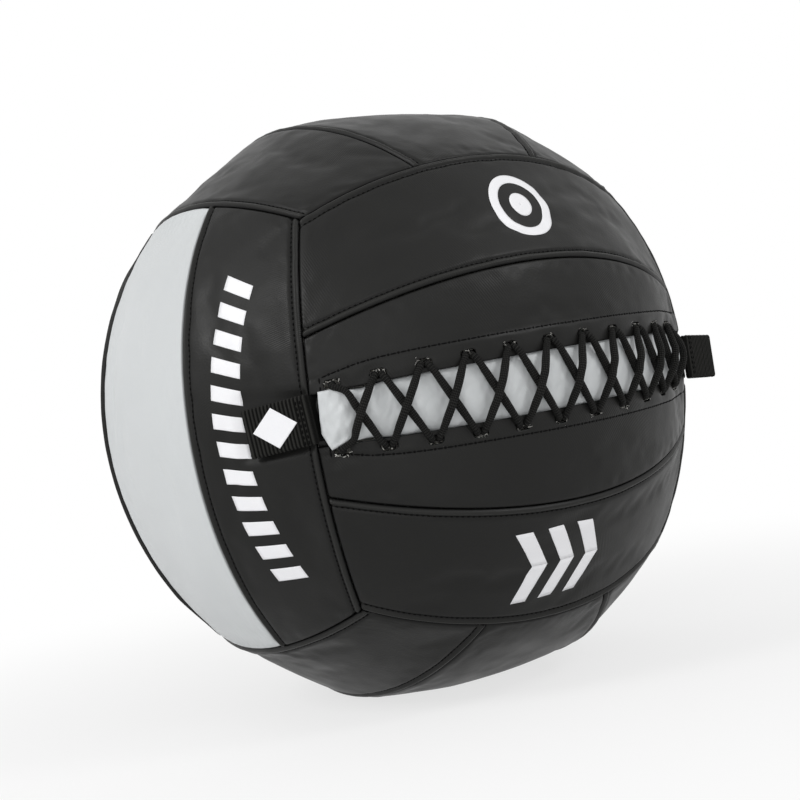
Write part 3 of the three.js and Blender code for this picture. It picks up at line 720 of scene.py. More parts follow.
def coated_vinyl(name, light, dark, grain_depth, crest_highlight_tint, fold_shade_tint, specular, twill_depth, roughness=0.42):
    """Polyester cloth coated with soft PVC, pressed under a grained roll: a low, wide sheen, a fine
    pebble, the cloth's twill faintly showing through, a painted highlight on the crest of each seam's
    ridge, and painted shade in the folds and stitch grooves of the seams."""
    material, tree, shader = new_material(name, roughness, Specular_IOR_Level=specular)
    place = object_place(tree)
    tone = blend(tree, noise(tree, place, 60 * MM, 3.0), dark, light)
    # The crest attribute carries painted light and shade: a painted highlight on the crests of the seam ridges, and
    # painted shade in the folds and stitch grooves.
    crest = crest_value(tree)
    crest_highlight_colour = blend(tree, calc(tree, "MULTIPLY", crest, 0.35, clamp=True), tone, crest_highlight_tint)
    fold_shaded_colour = blend(tree, calc(tree, "MULTIPLY", crest, -0.85, clamp=True), crest_highlight_colour, fold_shade_tint)
    # Grain cells are near 0.7 mm on the real cloth. They are drawn at 1.1 mm, so that they show.
    cells = {"Vector": place, "Scale": 1 / GRAIN_CELL, "Randomness": 0.9}
    pebble = add_node(tree, "ShaderNodeTexVoronoi", cells, feature="SMOOTH_F1")
    grain = bump(tree, pebble.outputs["Distance"], grain_depth)
    # The twill's ribs lie at 60 degrees to the strip, and show where the coat is thin.
    along, across = cut_places(tree)
    run = calc(tree, "MULTIPLY", along, 0.87 * 2 * math.pi / TWILL_PITCH)
    rise = calc(tree, "MULTIPLY", across, 0.5 * 2 * math.pi / TWILL_PITCH)
    twill = calc(tree, "SINE", calc(tree, "ADD", run, rise))
    thin = scaled(tree, noise(tree, place, 45 * MM, 1.0), 0.5, 0.7, 0.0, 1.0)
    surface = bump(tree, calc(tree, "MULTIPLY", twill, thin), twill_depth, grain)
    gloss = noise(tree, place, 18 * MM, 4.0)
    sheen = scaled(tree, gloss, 0.3, 0.7, roughness - 0.05, roughness + 0.06)
    wire(tree, shader, Base_Color=fold_shaded_colour, Normal=surface, Roughness=sheen)
    return material


def braided_cord():
    """Tubular braid of polyester filament: the plaits slope both ways, with a painted glint on top of each plait and
    painted shade between them.
    """
    material, tree, shader = new_material("braided_polyester", 0.8, Specular_IOR_Level=0.14)
    along, across = cut_places(tree)
    run = calc(tree, "MULTIPLY", along, 2 * math.pi / PLAIT_PITCH)
    # Seven plaits each way go round the cord, one every 1.9 mm of its girth.
    around = calc(tree, "MULTIPLY", across, PLAITS / LACE_RADIUS)
    plaits = [calc(tree, "SINE", calc(tree, lean, run, around)) for lean in ("ADD", "SUBTRACT")]
    height = calc(tree, "MULTIPLY_ADD", calc(tree, "MULTIPLY", *plaits), 0.5, 0.5)
    # Painted light and shade: each plait's top is painted lighter and the gaps between the plaits darker.
    tone = blend(tree, calc(tree, "POWER", height, 2.5), "#020202", "#343432")
    wire(tree, shader, Base_Color=tone, Normal=bump(tree, height, 0.5 * MM))
    return material


def ribbed_webbing():
    """Grosgrain webbing of spun polyester: thick weft ribs, crossed by fine warp yarns, quite matt, with painted
    light on the rib crests and painted shade in the grooves.
    """
    material, tree, shader = new_material("ribbed_webbing", 0.9, Specular_IOR_Level=0.1)
    along, across = cut_places(tree)
    yarn = calc(tree, "SINE", calc(tree, "MULTIPLY", across, 2 * math.pi / WARP_PITCH))
    pick = calc(tree, "COSINE", calc(tree, "MULTIPLY", along, 2 * math.pi / PICK_PITCH))
    height = calc(tree, "MULTIPLY_ADD", calc(tree, "MULTIPLY", yarn, pick), 0.5, 0.5)
    crest = crest_value(tree)
    # Painted light and shade: the rib crests and the tops of the yarns are painted lighter, the grooves between them
    # darker.
    painted_rib_shading = calc(tree, "MULTIPLY_ADD", height, 0.3, calc(tree, "POWER", crest, 6.0))
    tone = blend(tree, painted_rib_shading, "#000000", "#2b2b29")
    wire(tree, shader, Base_Color=tone, Normal=bump(tree, height, 0.12 * MM))
    return material


def spun_material(name, light, dark, yarn, roughness, depth, specular=0.3):
    """Thread, fibre and plain cloth: a soft, uneven tone and a nap about as wide as its yarn."""
    material, tree, shader = new_material(name, roughness, Specular_IOR_Level=specular)
    place = object_place(tree)
    nap = noise(tree, place, yarn, 4.0, Roughness=0.6)
    wire(tree, shader, Base_Color=blend(tree, nap, dark, light), Normal=bump(tree, nap, depth))
    return material


# In each vinyl the last two colours are painted light and shade: a highlight on the crests of the seam ridges, and
# shade in the folds and stitch grooves.
black_vinyl = coated_vinyl(
    "coated_vinyl_black", "#1e1e1d", "#191918", 0.05 * MM, "#2f2f2d", "#060606", 0.17, 0.035 * MM
)
silver_vinyl = coated_vinyl(
    "coated_vinyl_silver", "#d3d6d7", "#cbcecf", 0.085 * MM, "#d8dadb", "#77797a", 0.26, 0.012 * MM
)
braid = braided_cord()
webbing = ribbed_webbing()
# Bonded polyester sewing thread, and loose white fibre that pokes out of the holes.
thread = spun_material("bonded_thread", "#060606", "#010101", 0.4 * MM, 0.8, 0.05 * MM, 0.1)
fibre = spun_material("loose_fibre", "#f4f3ee", "#dddbd4", 2.5 * MM, 0.9, 0.5 * MM)
lining = spun_material("lining_cloth", "#e9e7e0", "#dcd9d0", 0.6 * MM, 0.95, 0.08 * MM)
sacking = spun_material("unbleached_calico", "#c3b391", "#ab9b78", 0.8 * MM, 0.95, 0.12 * MM)
sand_grains = spun_material("quartz_sand", "#d9c79f", "#a98f61", 0.7 * MM, 0.8, 0.3 * MM)
nylon = spun_material("moulded_nylon", "#ecece7", "#e4e4de", 6 * MM, 0.45, 0.02 * MM)
# Heat-pressed transfer film: nearly flat white with a faint satin.
film = spun_material("transfer_film", "#f7f7f9", "#efeff2", 0.9 * MM, 0.38, 0.012 * MM)


# Rows and columns of a strip: fine steps near its edges and even ones between.
EDGE_STEPS = [s * MM for s in (0, 0.15, 0.4, 0.8, 1.2, 1.7, 2.2, 2.8, 3.4, 3.9, 4.4, 4.9, 5.6, 6.6, 8, 10)]
SLOT_STEPS = [s * MM for s in (0, 0.12, 0.3, 0.6, 1.2, *np.arange(2, 13.1, 0.8))]
INNER_STEP = 2.6 * MM
FLAP_STEP = 1.3 * MM


def strip_mesh(strip):
    low_zone = SLOT_STEPS if strip.slot_side == 1 else EDGE_STEPS
    high_zone = SLOT_STEPS if strip.slot_side == -1 else EDGE_STEPS
    width = FACE_HALF_ARC - math.atan(SEAM_MIDDLE_SHARE) * BALL_RADIUS
    if strip.slot_side:
        width = math.atan(SEAM_MIDDLE_SHARE) * BALL_RADIUS - SLOT_HALF
    elif strip.name.split("_")[1] == "middle":
        width = 2 * math.atan(SEAM_MIDDLE_SHARE) * BALL_RADIUS
    inner_rows = round((width - low_zone[-1] - high_zone[-1]) / INNER_STEP)
    inner_columns = round((2 * FACE_HALF_ARC - 2 * EDGE_STEPS[-1]) / (FLAP_STEP if strip.slot_side else INNER_STEP))
    if strip.colour == "silver":
        inner_rows *= 2

    def steps(low, high, inner):
        """Each step as a share of the whole, a distance from the low end and a sink."""
        found = [(0, low[0], SKIRT_DEPTH)] + [(0, d, 0) for d in low]
        found += [(i / inner, low[-1] * (1 - i / inner) - high[-1] * i / inner, 0) for i in range(1, inner)]
        found += [(1, -d, 0) for d in reversed(high)] + [(1, -high[0], SKIRT_DEPTH)]
        return np.array(found)

    rows = steps(low_zone, high_zone, inner_rows)
    columns = steps(EDGE_STEPS, EDGE_STEPS, inner_columns)
    if strip.slot_side == 1:
        rows = rows[1:]
    if strip.slot_side == -1:
        rows = rows[:-1]

    def tangents(angle, row):
        share, offset = rows[row, 0], rows[row, 1]
        low, high = strip.edge_angles(angle, SEWN_GAP)
        between = tangent_at(angle, low + share * (high - low) + offset / BALL_RADIUS)
        from_low = strip.edges[0].tangent(angle, SEWN_GAP + offset)
        from_high = strip.edges[1].tangent(angle, SEWN_GAP - offset)
        return np.where(share == 0, from_low, np.where(share == 1, from_high, between))

    def angles(column, tangent):
        share, offset = columns[column, 0], columns[column, 1]
        norm = np.sqrt(2 + tangent**2)

        def from_end(distance):
            return np.arctan(math.sqrt(2) * norm * np.sin(distance / BALL_RADIUS) - 1)

        start, end = from_end(SEWN_GAP + offset), -from_end(SEWN_GAP - offset)
        between = from_end(SEWN_GAP + EDGE_STEPS[-1]) * (1 - 2 * share)
        return np.where(share == 0, start, np.where(share == 1, end, between))

    def spread(column, row):
        tangent = tangents(np.full(column.shape, 0.6), row)
        for _ in range(3):
            angle = angles(column, tangent)
            tangent = tangents(angle, row)
        return angle, tangent

    def place(column, row):
        angle, tangent = spread(column, row)
        sink = np.maximum(columns[column, 2], rows[row, 2])
        found = strip.points(angle, tangent)
        return found + unit_length(CENTRE - found) * sink[:, None]

    def cut(column, row):
        angle, tangent = spread(column, row)
        return BALL_RADIUS * np.stack([angle, across_angle(angle, tangent)], -1)

    return grid_mesh(strip.name, len(columns) - 1, len(rows) - 1, place, cut)


def crest_attribute(strip, mesh):
    """Marks where light and shade are painted: above zero the crests of the topstitched ridges, for a painted
    highlight, and below zero the folds, stitch grooves and hem stitch lines, for painted shade.
    """
    ray = coordinates(mesh) - CENTRE
    outward, along, across = (np.array(v, float) for v in FACES[strip.face])
    depth = ray @ outward
    angle = np.arctan((ray @ along) / depth)
    tangent = (ray @ across) / depth
    value = np.zeros(len(ray))
    dark = np.zeros(len(ray))
    sides = [edge.distance(angle, tangent) for edge in strip.edges]
    # Painted shade in the fold of every edge into its seam.
    for distance in (*strip.end_distances(angle, tangent), *sides):
        dark = np.maximum(dark, 1 - smooth(distance, 0.3 * MM, 1.3 * MM))
    for number, distance in enumerate(sides):
        if number in strip.stitched:
            # Painted highlight on each ridge's crest, and painted shade in its stitch groove.
            value = np.maximum(value, bell(distance, RIDGE_MIDDLE, 1.2 * MM))
            dark = np.maximum(dark, 0.28 * bell(distance, STITCH_INSET, 0.9 * MM))
        elif strip.slot_side == (1, -1)[number]:
            # Painted shade along the hem's stitch line.
            dark = np.maximum(dark, 0.4 * bell(distance, hem_inset(angle, strip.slot_side), 0.8 * MM))
    set_crest(mesh, np.where(dark > value, -dark, value))


def cover_strip(strip):
    mesh = strip_mesh(strip)
    crest_attribute(strip, mesh)
    silver = strip.colour == "silver"
    material = silver_vinyl if silver else black_vinyl
    piece = add_piece(strip.name + "_cover", mesh, material, "ball")
    thicken(piece, FLAP_WALL if strip.slot_side else SHELL_WALL)
    if strip.slot_side:
        apply_modifiers(piece)
        punch_holes(piece, strip.slot_side)
    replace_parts(piece, strip.name)


def punch_holes(piece, side):
    """Cuts the lace's holes through a flap. Each is a short slot that takes two strands."""
    def work(bm):
        for pair in range(HOLE_PAIRS):
            along = hole_along(pair)
            across = side * hole_half_at(along)
            middle = laced_point(along, across, 0)
            ahead = laced_point(along + 1 * MM, across, 0) - middle
            aside = laced_point(along, across + 1 * MM, 0) - middle
            x = Vector(ahead).normalized()
            z = Vector(np.cross(ahead, aside)).normalized()
            basis = Matrix((x, z.cross(x), z)).transposed().to_4x4()
            made = bmesh.ops.create_cone(
                bm, cap_ends=True, segments=28, radius1=HOLE_RADIUS, radius2=HOLE_RADIUS, depth=12 * MM
            )
            for vert in made["verts"]:
                vert.co.x += math.copysign(LACE_SPACING / 2, vert.co.x)
                vert.co = Matrix.Translation(Vector(middle)) @ basis @ vert.co

    punch = linked("punch", built("punch", work))
    combine(piece, punch, "DIFFERENCE")
    bpy.data.objects.remove(punch)


# The lace: places along the strip, across it and over it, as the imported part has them.
PLAIN_SHARES = (0.33, 0.67)
HUMP_SHARES = (0.18, 0.36, 0.5, 0.64, 0.82)
TURN_STEPS = 4
TWIST_STEPS = 6
TONGUE_UNDER = VINYL_THICKNESS + LAYER_GAP
LACE_INNER_DEPTH = TONGUE_UNDER + TONGUE_THICKNESS + LACE_CLEARANCE + LACE_RADIUS
LACE_OUTER_HEIGHT = LACE_CLEARANCE + LACE_RADIUS
LACE_TURN_RADIUS = (LACE_INNER_DEPTH + LACE_OUTER_HEIGHT) / 2
TONGUE_STACK = TONGUE_THICKNESS + LAYER_GAP


def laced_point(along, across, height):
    along, across, height = (np.asarray(v, float) for v in (along, across, height))
    return on_cover("front", along / BALL_RADIUS, laced_tangent(along, across), height)[0]


def lace_route():
    route = []
    last = HOLE_PAIRS - 1
    half = LACE_SPACING / 2

    def top_height(pair):
        return LACE_OUTER_HEIGHT + (TONGUE_STACK if pair == 0 else 0)

    def turn_radius(pair):
        return LACE_TURN_RADIUS + (TONGUE_STACK / 2 if pair == 0 else 0)

    def inner(pair):
        return hole_half_at(hole_along(pair)) - turn_radius(pair)

    def lean(pair):
        """How far a strand has gone towards the next hole when it reaches the slot's edge."""
        return FIRST_LEAN if pair == 0 else LACE_LEAN

    def through(pair, side, offset, inward, way):
        for step in range(TURN_STEPS + 1):
            turn = (1 if inward else -1) * (math.pi / 2 - math.pi * step / TURN_STEPS)
            across = inner(pair) + turn_radius(pair) * math.cos(turn)
            height = top_height(pair) - turn_radius(pair) * (1 - math.sin(turn))
            ahead = way * lean(pair) * (1 - math.cos(turn)) ** 2 if turn > 0 else 0
            route.append((hole_along(pair) + offset + ahead, side * across, height, 1))

    def mix(a, b, share):
        return a + (b - a) * share

    def strand(start, end, side, offsets, hump):
        for share in HUMP_SHARES if hump else PLAIN_SHARES:
            nearest = min(share, 1 - share) / HUMP_SHARES[1]
            rise = LACE_HUMP * float(smooth(nearest, 0, 1)) if hump else 0
            way = 1 if end > start else -1
            begin = hole_along(start) + offsets[0] + way * lean(start)
            finish = hole_along(end) + offsets[1] - way * lean(end)
            route.append((
                mix(begin, finish, share),
                mix(side * inner(start), -side * inner(end), share),
                mix(top_height(start), top_height(end), share) + rise,
                0,
            ))

    def behind(pair, side, offset, deep):
        for step in range(1, TWIST_STEPS):
            share = step / TWIST_STEPS
            route.append((
                hole_along(pair) + offset * math.cos(math.pi * share),
                side * inner(pair) * (1 - 2 * share),
                -LACE_INNER_DEPTH - (2 * LACE_RADIUS * math.sin(math.pi * share) if deep else 0),
                1,
            ))

    def tail(offset):
        return hole_along(last) + offset, LACE_TAIL - inner(last), -LACE_INNER_DEPTH, 1

    route.append(tail(-half))
    for pair in range(last, 0, -1):
        offset = 0 if pair == 1 else half
        through(pair, -1, -half, False, -1)
        strand(pair, pair - 1, -1, (-half, offset), False)
        through(pair - 1, 1, offset, True, 1)
        if pair > 1:
            behind(pair - 1, 1, half, False)
    behind(0, 1, 0, False)
    for pair in range(last):
        offset = 0 if pair == 0 else half
        through(pair, -1, offset, False, 1)
        strand(pair, pair + 1, -1, (offset, -half), True)
        through(pair + 1, 1, -half, True, -1)
        if pair + 1 < last:
            behind(pair + 1, 1, -half, True)
    for step in range(TWIST_STEPS + 1):
        turn = math.pi * step / TWIST_STEPS
        reach = inner(last) - LACE_TAIL - half * math.sin(turn)
        route.append((hole_along(last) - half * math.cos(turn), reach, -LACE_INNER_DEPTH, 1))
    through(last, 1, half, False, 0)
    for share in HUMP_SHARES:
        bow = math.sin(math.pi * share)
        route.append((
            hole_along(last) + half + LAST_BAR_BULGE * bow,
            inner(last) * (1 - 2 * share),
            LACE_OUTER_HEIGHT + LAST_BAR_LIFT * bow,
            0,
        ))
    through(last, -1, half, True, 0)
    route.append(tail(half))
    along, across, height, pinch = np.array(route).T
    return np.column_stack([laced_point(along, across, height), 1 - (1 - LACE_PINCH) * pinch])


def smooth_path(points, step):
    """An even, rounded path through points."""
    before = np.vstack([2 * points[0] - points[1], points[:-1]])
    after = np.vstack([points[1:], 2 * points[-1] - points[-2]])
    following = np.vstack([after[1:], after[-1]])
    found = []
    for a, b, c, d in zip(before[:-1], points[:-1], after[:-1], following[:-1]):
        for t in np.linspace(0, 1, 8, endpoint=False):
            found.append(0.5 * (
                2 * b + (c - a) * t + (2 * a - 5 * b + 4 * c - d) * t**2 + (3 * b - a - 3 * c + d) * t**3
            ))
    found = np.array([*found, points[-1]])
    lengths = np.r_[0, np.cumsum(np.linalg.norm(np.diff(found[:, :3], axis=0), axis=1))]
    even = np.linspace(0, lengths[-1], max(2, round(lengths[-1] / step)) + 1)
    return np.stack([np.interp(even, lengths, column) for column in found.T], -1), even


def frames_along(path):
    """Two directions across a path at each point, turned as little as they can be."""
    tangent = unit_length(np.gradient(path, axis=0))
    normal = np.cross(tangent[0], (1.0, 0.2, 0.1))
    normals = []
    for t in tangent:
        normal = unit_length(normal - t * normal.dot(t))
        normals.append(normal)
    normals = np.array(normals)
    return normals, np.cross(tangent, normals)


def tube_mesh(name, points, radius, sides, step):
    """A round tube with closed ends. Its UV map runs along it and round it. A fourth value of each
    point is the share of the radius there."""
    path, length = smooth_path(np.asarray(points), step)
    path, share = path[:, :3], path[:, 3]
    normal, aside = frames_along(path)

    def place(column, row):
        turn = -2 * math.pi * row / sides
        out = normal[column] * np.cos(turn)[:, None] + aside[column] * np.sin(turn)[:, None]
        return path[column] + radius * share[column][:, None] * out

    def cut(column, row):
        return np.stack([length[column], 2 * math.pi * radius * row / sides], -1)

    mesh = grid_mesh(name, len(path) - 1, sides, place, cut)

    def close(bm):
        bmesh.ops.remove_doubles(bm, verts=bm.verts, dist=1e-7)
        bmesh.ops.holes_fill(bm, edges=[e for e in bm.edges if e.is_boundary], sides=0)
        bmesh.ops.recalc_face_normals(bm, faces=bm.faces)

    return edit(mesh, close)


def lace():
    mesh = tube_mesh("lace_braid", lace_route(), LACE_RADIUS, 16, 0.8 * MM)
    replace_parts(add_piece("lace_braid", mesh, braid, "ball"), "lace")


def repeated(name, unit, axes, places):
    """One mesh that holds a unit mesh many times: axes are three columns each, and places are points."""
    mesh = built(name, lambda bm: [bm.from_mesh(unit) for _ in places])
    placed = np.einsum("nij,vj->nvi", axes, coordinates(unit)) + places[:, None]
    set_coordinates(mesh, placed)
    return mesh


def thread_unit():
    """One visible stitch, lying along X: a thread whose two ends are pulled into their holes."""
    def work(bm):
        lying = Matrix.Rotation(math.pi / 2, 4, "Y")
        bmesh.ops.create_uvsphere(bm, u_segments=6, v_segments=6, radius=1, matrix=lying)
        for vert in bm.verts:
            vert.co.z -= 0.9 * vert.co.x**4

    return built("thread_unit", work)


def stitches(unit, places, normals, pitch, radius=THREAD_RADIUS):
    """One row of stitches as a mesh."""
    run = unit_length(np.gradient(places, axis=0))
    aside = unit_length(np.cross(normals, run))
    up = np.cross(run, aside)
    axes = np.stack([run * STITCH_SHARE * pitch, aside * radius, up * radius], -1)
    return repeated("stitches", unit, axes, places + up * 0.15 * radius)


def needle_holes(places, normals, radius):
    """Dark discs of thread between the stitches of a row, at the needle holes: partly the thread where it goes down,
    and partly painted shade of the pulled-in holes, which are not cut.
    """
    unit = built("hole_unit", lambda bm: bmesh.ops.create_uvsphere(bm, u_segments=6, v_segments=4, radius=1))
    middle = (places[1:] + places[:-1]) / 2
    normal = unit_length(normals[1:] + normals[:-1])
    run = unit_length(places[1:] - places[:-1])
    aside = np.cross(normal, run)
    axes = np.stack([run * radius, aside * radius * 1.1, normal * HOLE_DISC_HEIGHT], -1)
    return repeated("needle_holes", unit, axes, middle)


SEAM_SEWING = (STITCH_PITCH, THREAD_RADIUS, SEAM_HOLE_RADIUS)
HEM_SEWING = (HEM_PITCH, HEM_THREAD_RADIUS, HEM_HOLE_RADIUS)
RETURN_PITCH = 0.8 * HEM_PITCH


def stitch_row(unit, strip, edge, inset, sewing, start=-1.0, end=1.0):
    """Stitches along a line at an inset from one edge of a strip. sewing is their pitch, the thread's
    radius and the radius of the dark discs, partly painted shade, at the needle holes."""
    pitch, thread_radius, hole_radius = sewing
    angle = np.linspace(start * FACE_HALF_ANGLE, end * FACE_HALF_ANGLE, 500)
    line = strip.points(angle, edge.tangent(angle, inset(angle)))
    length = np.r_[0, np.cumsum(np.linalg.norm(np.diff(line, axis=0), axis=1))]
    angles = np.interp(np.arange(0.5 * pitch, length[-1] - 0.4 * pitch, pitch), length, angle)
    tangents = edge.tangent(angles, inset(angles))
    places, normals = strip.points(angles, tangents), strip.normals(angles, tangents)
    threads = stitches(unit, places, normals, pitch, thread_radius)
    return join_meshes("row", [threads, needle_holes(places, normals, hole_radius)])


def all_stitches():
    def seam_inset(angle):
        return np.full(angle.shape, STITCH_INSET)

    unit = thread_unit()
    rows = []
    for strip in STRIPS:
        for number in strip.stitched:
            rows.append(stitch_row(unit, strip, strip.edges[number], seam_inset, SEAM_SEWING))
    add_piece("seam_stitches", join_meshes("seam_stitches", rows), thread, "ball")
    hems = []
    for name, side in (("front_upper_flap", 1), ("front_lower_flap", -1)):
        def inset(angle, side=side):
            return hem_inset(angle, side)

        strip = STRIP[name]
        hems.append(stitch_row(unit, strip, strip.edges[side == -1], inset, HEM_SEWING, HEM_START, HEM_END))
        hems.append(hem_return(unit, strip, side))
    add_piece("hem_stitches", join_meshes("hem_stitches", hems), thread, "ball")


def hem_return(unit, strip, side):
    """The two stitches by which a hem's row turns in to the slot, near its left end."""
    along = HEM_START * FACE_HALF_ARC
    count = 2 if side == 1 else 1
    across = side * (slot_half_at(along) + (np.arange(count) + 0.5) * RETURN_PITCH)
    angle = np.full(across.shape, along / BALL_RADIUS)
    tangent = laced_tangent(along, across)
    places = strip.points(angle, tangent)
    normals = strip.normals(angle, tangent)
    if count == 1:
        places = np.vstack([places, places + [0, 0, side * 2 * MM]])
        normals = np.vstack([normals, normals])
    return stitches(unit, places, normals, RETURN_PITCH, HEM_THREAD_RADIUS)


def print_mesh(strip, name, columns, rows, spot):
    """A patch of film on a strip. spot(column share, row share) gives its place along and across."""
    def place(column, row):
        along, across = spot(column / columns, row / rows)
        angle = along / BALL_RADIUS
        return strip.points(angle, tangent_at(angle, across / BALL_RADIUS), FILM_LIFT)

    def cut(column, row):
        return np.stack(spot(column / columns, row / rows), -1)

    return merged(grid_mesh(name, columns, rows, place, cut))


def ring_mesh(strip, name, middle, inner, outer):
    def spot(u, v):
        radius = inner + (outer - inner) * v
        turn = -2 * math.pi * u
        return middle[0] + radius * np.cos(turn), middle[1] + radius * np.sin(turn)

    return print_mesh(strip, name, 72, 6, spot)


def bar_mesh(strip, name, start, run, rise):
    """A parallelogram from a corner, by its two sides."""
    def spot(u, v):
        return start[0] + run[0] * u + rise[0] * v, start[1] + run[1] * u + rise[1] * v

    return print_mesh(strip, name, 10, 8, spot)


TARGET_MIDDLE = (6 * MM, 99 * MM)
CHEVRON_START = (-40 * MM, -99.5 * MM)
CHEVRON_PITCH = 21 * MM
CHEVRON_WIDTH = 11 * MM
CHEVRON_TIP = (13 * MM, 22 * MM)
BARS = 12
BAR_START = (-100 * MM, -98 * MM)
BAR_PITCH = 16.3 * MM
BAR_WIDTH = 9 * MM
BAR_RISE = (5 * MM, 18 * MM)


def prints():
    """Plain marks where the ball is printed: a ring and a dot, three chevrons and a column of bars."""
    upper, lower, side = STRIP["front_upper_panel"], STRIP["front_lower_panel"], STRIP["left_front_panel"]
    target = [
        ring_mesh(upper, "ring", TARGET_MIDDLE, 15 * MM, 21 * MM),
        ring_mesh(upper, "dot", TARGET_MIDDLE, 0.01 * MM, 7.5 * MM),
    ]
    chevrons = []
    tip, rise = CHEVRON_TIP
    for number in range(3):
        x, y = CHEVRON_START[0] + number * CHEVRON_PITCH + tip, CHEVRON_START[1]
        chevrons.append(bar_mesh(lower, "chevron", (x, y), (CHEVRON_WIDTH, 0), (-tip, rise)))
        chevrons.append(bar_mesh(lower, "chevron", (x - tip, y - rise), (CHEVRON_WIDTH, 0), (tip, rise)))
    bars = [
        bar_mesh(side, "bar", (BAR_START[0] + number * BAR_PITCH, BAR_START[1]), (BAR_WIDTH, 0), BAR_RISE)
        for number in range(BARS)
    ]
    for name, meshes in (("upper_print", target), ("lower_print", chevrons), ("side_print", bars)):
        thicken(add_piece(name, join_meshes(name, meshes), film, "ball"), FILM_THICKNESS, 1)


# The tongue: where its left end starts along the mouth, by the share of its width, and how wide
# that end is on the upper and the lower side.
TONGUE_START = ([-1, -0.4, 1], [v * MM for v in (-130.2, -133.9, -132.8)])
TONGUE_END_ALONG = [v * MM for v in (-136, -134.4, -131.6, -127, -122, -117.4)]
TONGUE_END_HALVES = {1: (13.8, 14.0, 14.2, 14.4, 14.3), -1: (16.6, 16.4, 15.7, 14.3, 12.7)}
TONGUE_WAIST = 20 * MM - FACE_HALF_ARC
TONGUE_MARGIN = 0.6 * MM
TONGUE_WALL = 0.9 * MM


def tongue_half(along, side):
    """Half of the tongue's width: wide under the flaps, drawn in where it comes out through the slot,
    and as its table says at the end that lies over them."""
    slot = slot_half_at(along) - TONGUE_MARGIN
    full = hole_half_at(along) - LACE_TURN_RADIUS + 0.4 * MM
    width = slot + (full - slot) * smooth(along, TONGUE_WAIST + 6 * MM, TONGUE_WAIST + 16 * MM)
    last = TONGUE_END_ALONG[-1]
    halves = [*[h * MM for h in TONGUE_END_HALVES[side]], slot_half_at(last) - TONGUE_MARGIN]
    return np.where(along < last, np.interp(along, TONGUE_END_ALONG, halves), width)


def tongue():
    """The silver tongue. Its left end comes out through the slot and lies over both flaps."""
    end = FACE_HALF_ARC - 3 * MM
    columns, rows = 300, 40

    def spread(column, row):
        share = 2 * row / rows - 1
        share = share + 0.12 * share * (1 - share**2)
        begin = np.interp(share, *TONGUE_START)
        along = begin + (end - begin) * (column / columns) ** 1.3
        half = np.where(share > 0, tongue_half(along, 1), tongue_half(along, -1))
        return along, share * half, half, share

    def place(column, row):
        along, across, half, share = spread(column, row)
        rise = 1 - smooth(along, TONGUE_WAIST - 6 * MM, TONGUE_WAIST + 6 * MM)
        flat = laced_point(along, across, np.zeros(along.shape))
        drawn = 2.4 * MM * (1 - share**4) + 0.35 * MM * waves(flat, 24 * MM, 31)
        pairs = 2 * math.pi * (along - FIRST_HOLE + FACE_HALF_ARC) / (hole_along(1) - hole_along(0))
        drawn = drawn + 0.3 * MM * np.cos(pairs) * (1 - share**2)
        edge = np.minimum(half - np.abs(across), along - np.interp(share, *TONGUE_START))
        lying = 1.75 * MM + 1.6 * MM * smooth(edge, 0, 9 * MM) + 0.3 * MM * bell(edge, 1.2 * MM, 0.8 * MM)
        lying = lying - 0.35 * MM * bell(across + 0.6 * along, -94 * MM, 2.2 * MM)
        crease = 0.12 * MM * waves(flat, 3.2 * MM, 33) + 0.18 * MM * waves(flat, 7 * MM, 34)
        sprung = 2.4 * MM * smooth(along, 120 * MM, 130 * MM)
        height = -TONGUE_UNDER + drawn + (lying + TONGUE_UNDER - drawn) * rise + crease + sprung
        return laced_point(along, across, height + fold(edge, 0.5 * MM))

    def cut(column, row):
        return np.stack(spread(column, row)[:2], -1)

    mesh = grid_mesh("tongue_sheet", columns, rows, place, cut)
    piece = add_piece("tongue_sheet", mesh, silver_vinyl, "ball")
    thicken(piece, TONGUE_WALL)
    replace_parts(piece, "tongue")


def mouth_facing():
    """A sheet of black vinyl put in the slot's left end, under the tongue and beside the tab's tail, as painted shade
    of that recess.
    """
    start, end = 0.4 * MM - FACE_HALF_ARC, 15 * MM - FACE_HALF_ARC
    columns, rows = 14, 30

    def spread(column, row):
        along = start + (end - start) * column / columns
        return along, (2 * row / rows - 1) * (slot_half_at(along) + 0.7 * MM)

    def place(column, row):
        edge = (2 * row / rows - 1) ** 6
        depth = ((0.8 + 1.2 * smooth(column / columns, 0, 0.5)) * (1 - edge) + 2.1 * edge) * MM
        return laced_point(*spread(column, row), -depth)

    mesh = grid_mesh("mouth_facing", columns, rows, place, lambda column, row: np.stack(spread(column, row), -1))
    thicken(add_piece("mouth_facing", mesh, black_vinyl, "ball"), 0.6 * MM)


def turned_about(vector, axis, angle):
    return np.array(Quaternion(Vector(axis), angle) @ Vector(vector))


def tab_frame(side, tilt):
    out = np.array([side, -1, 0]) / math.sqrt(2)
    over = np.array([side, 1, 0]) / math.sqrt(2) * math.cos(tilt) - np.array([0, 0, 1]) * math.sin(tilt)
    return out, over, unit_length(np.cross(over, out))


STRAP_ROWS = 28
STEPS_PER_RIB = 8


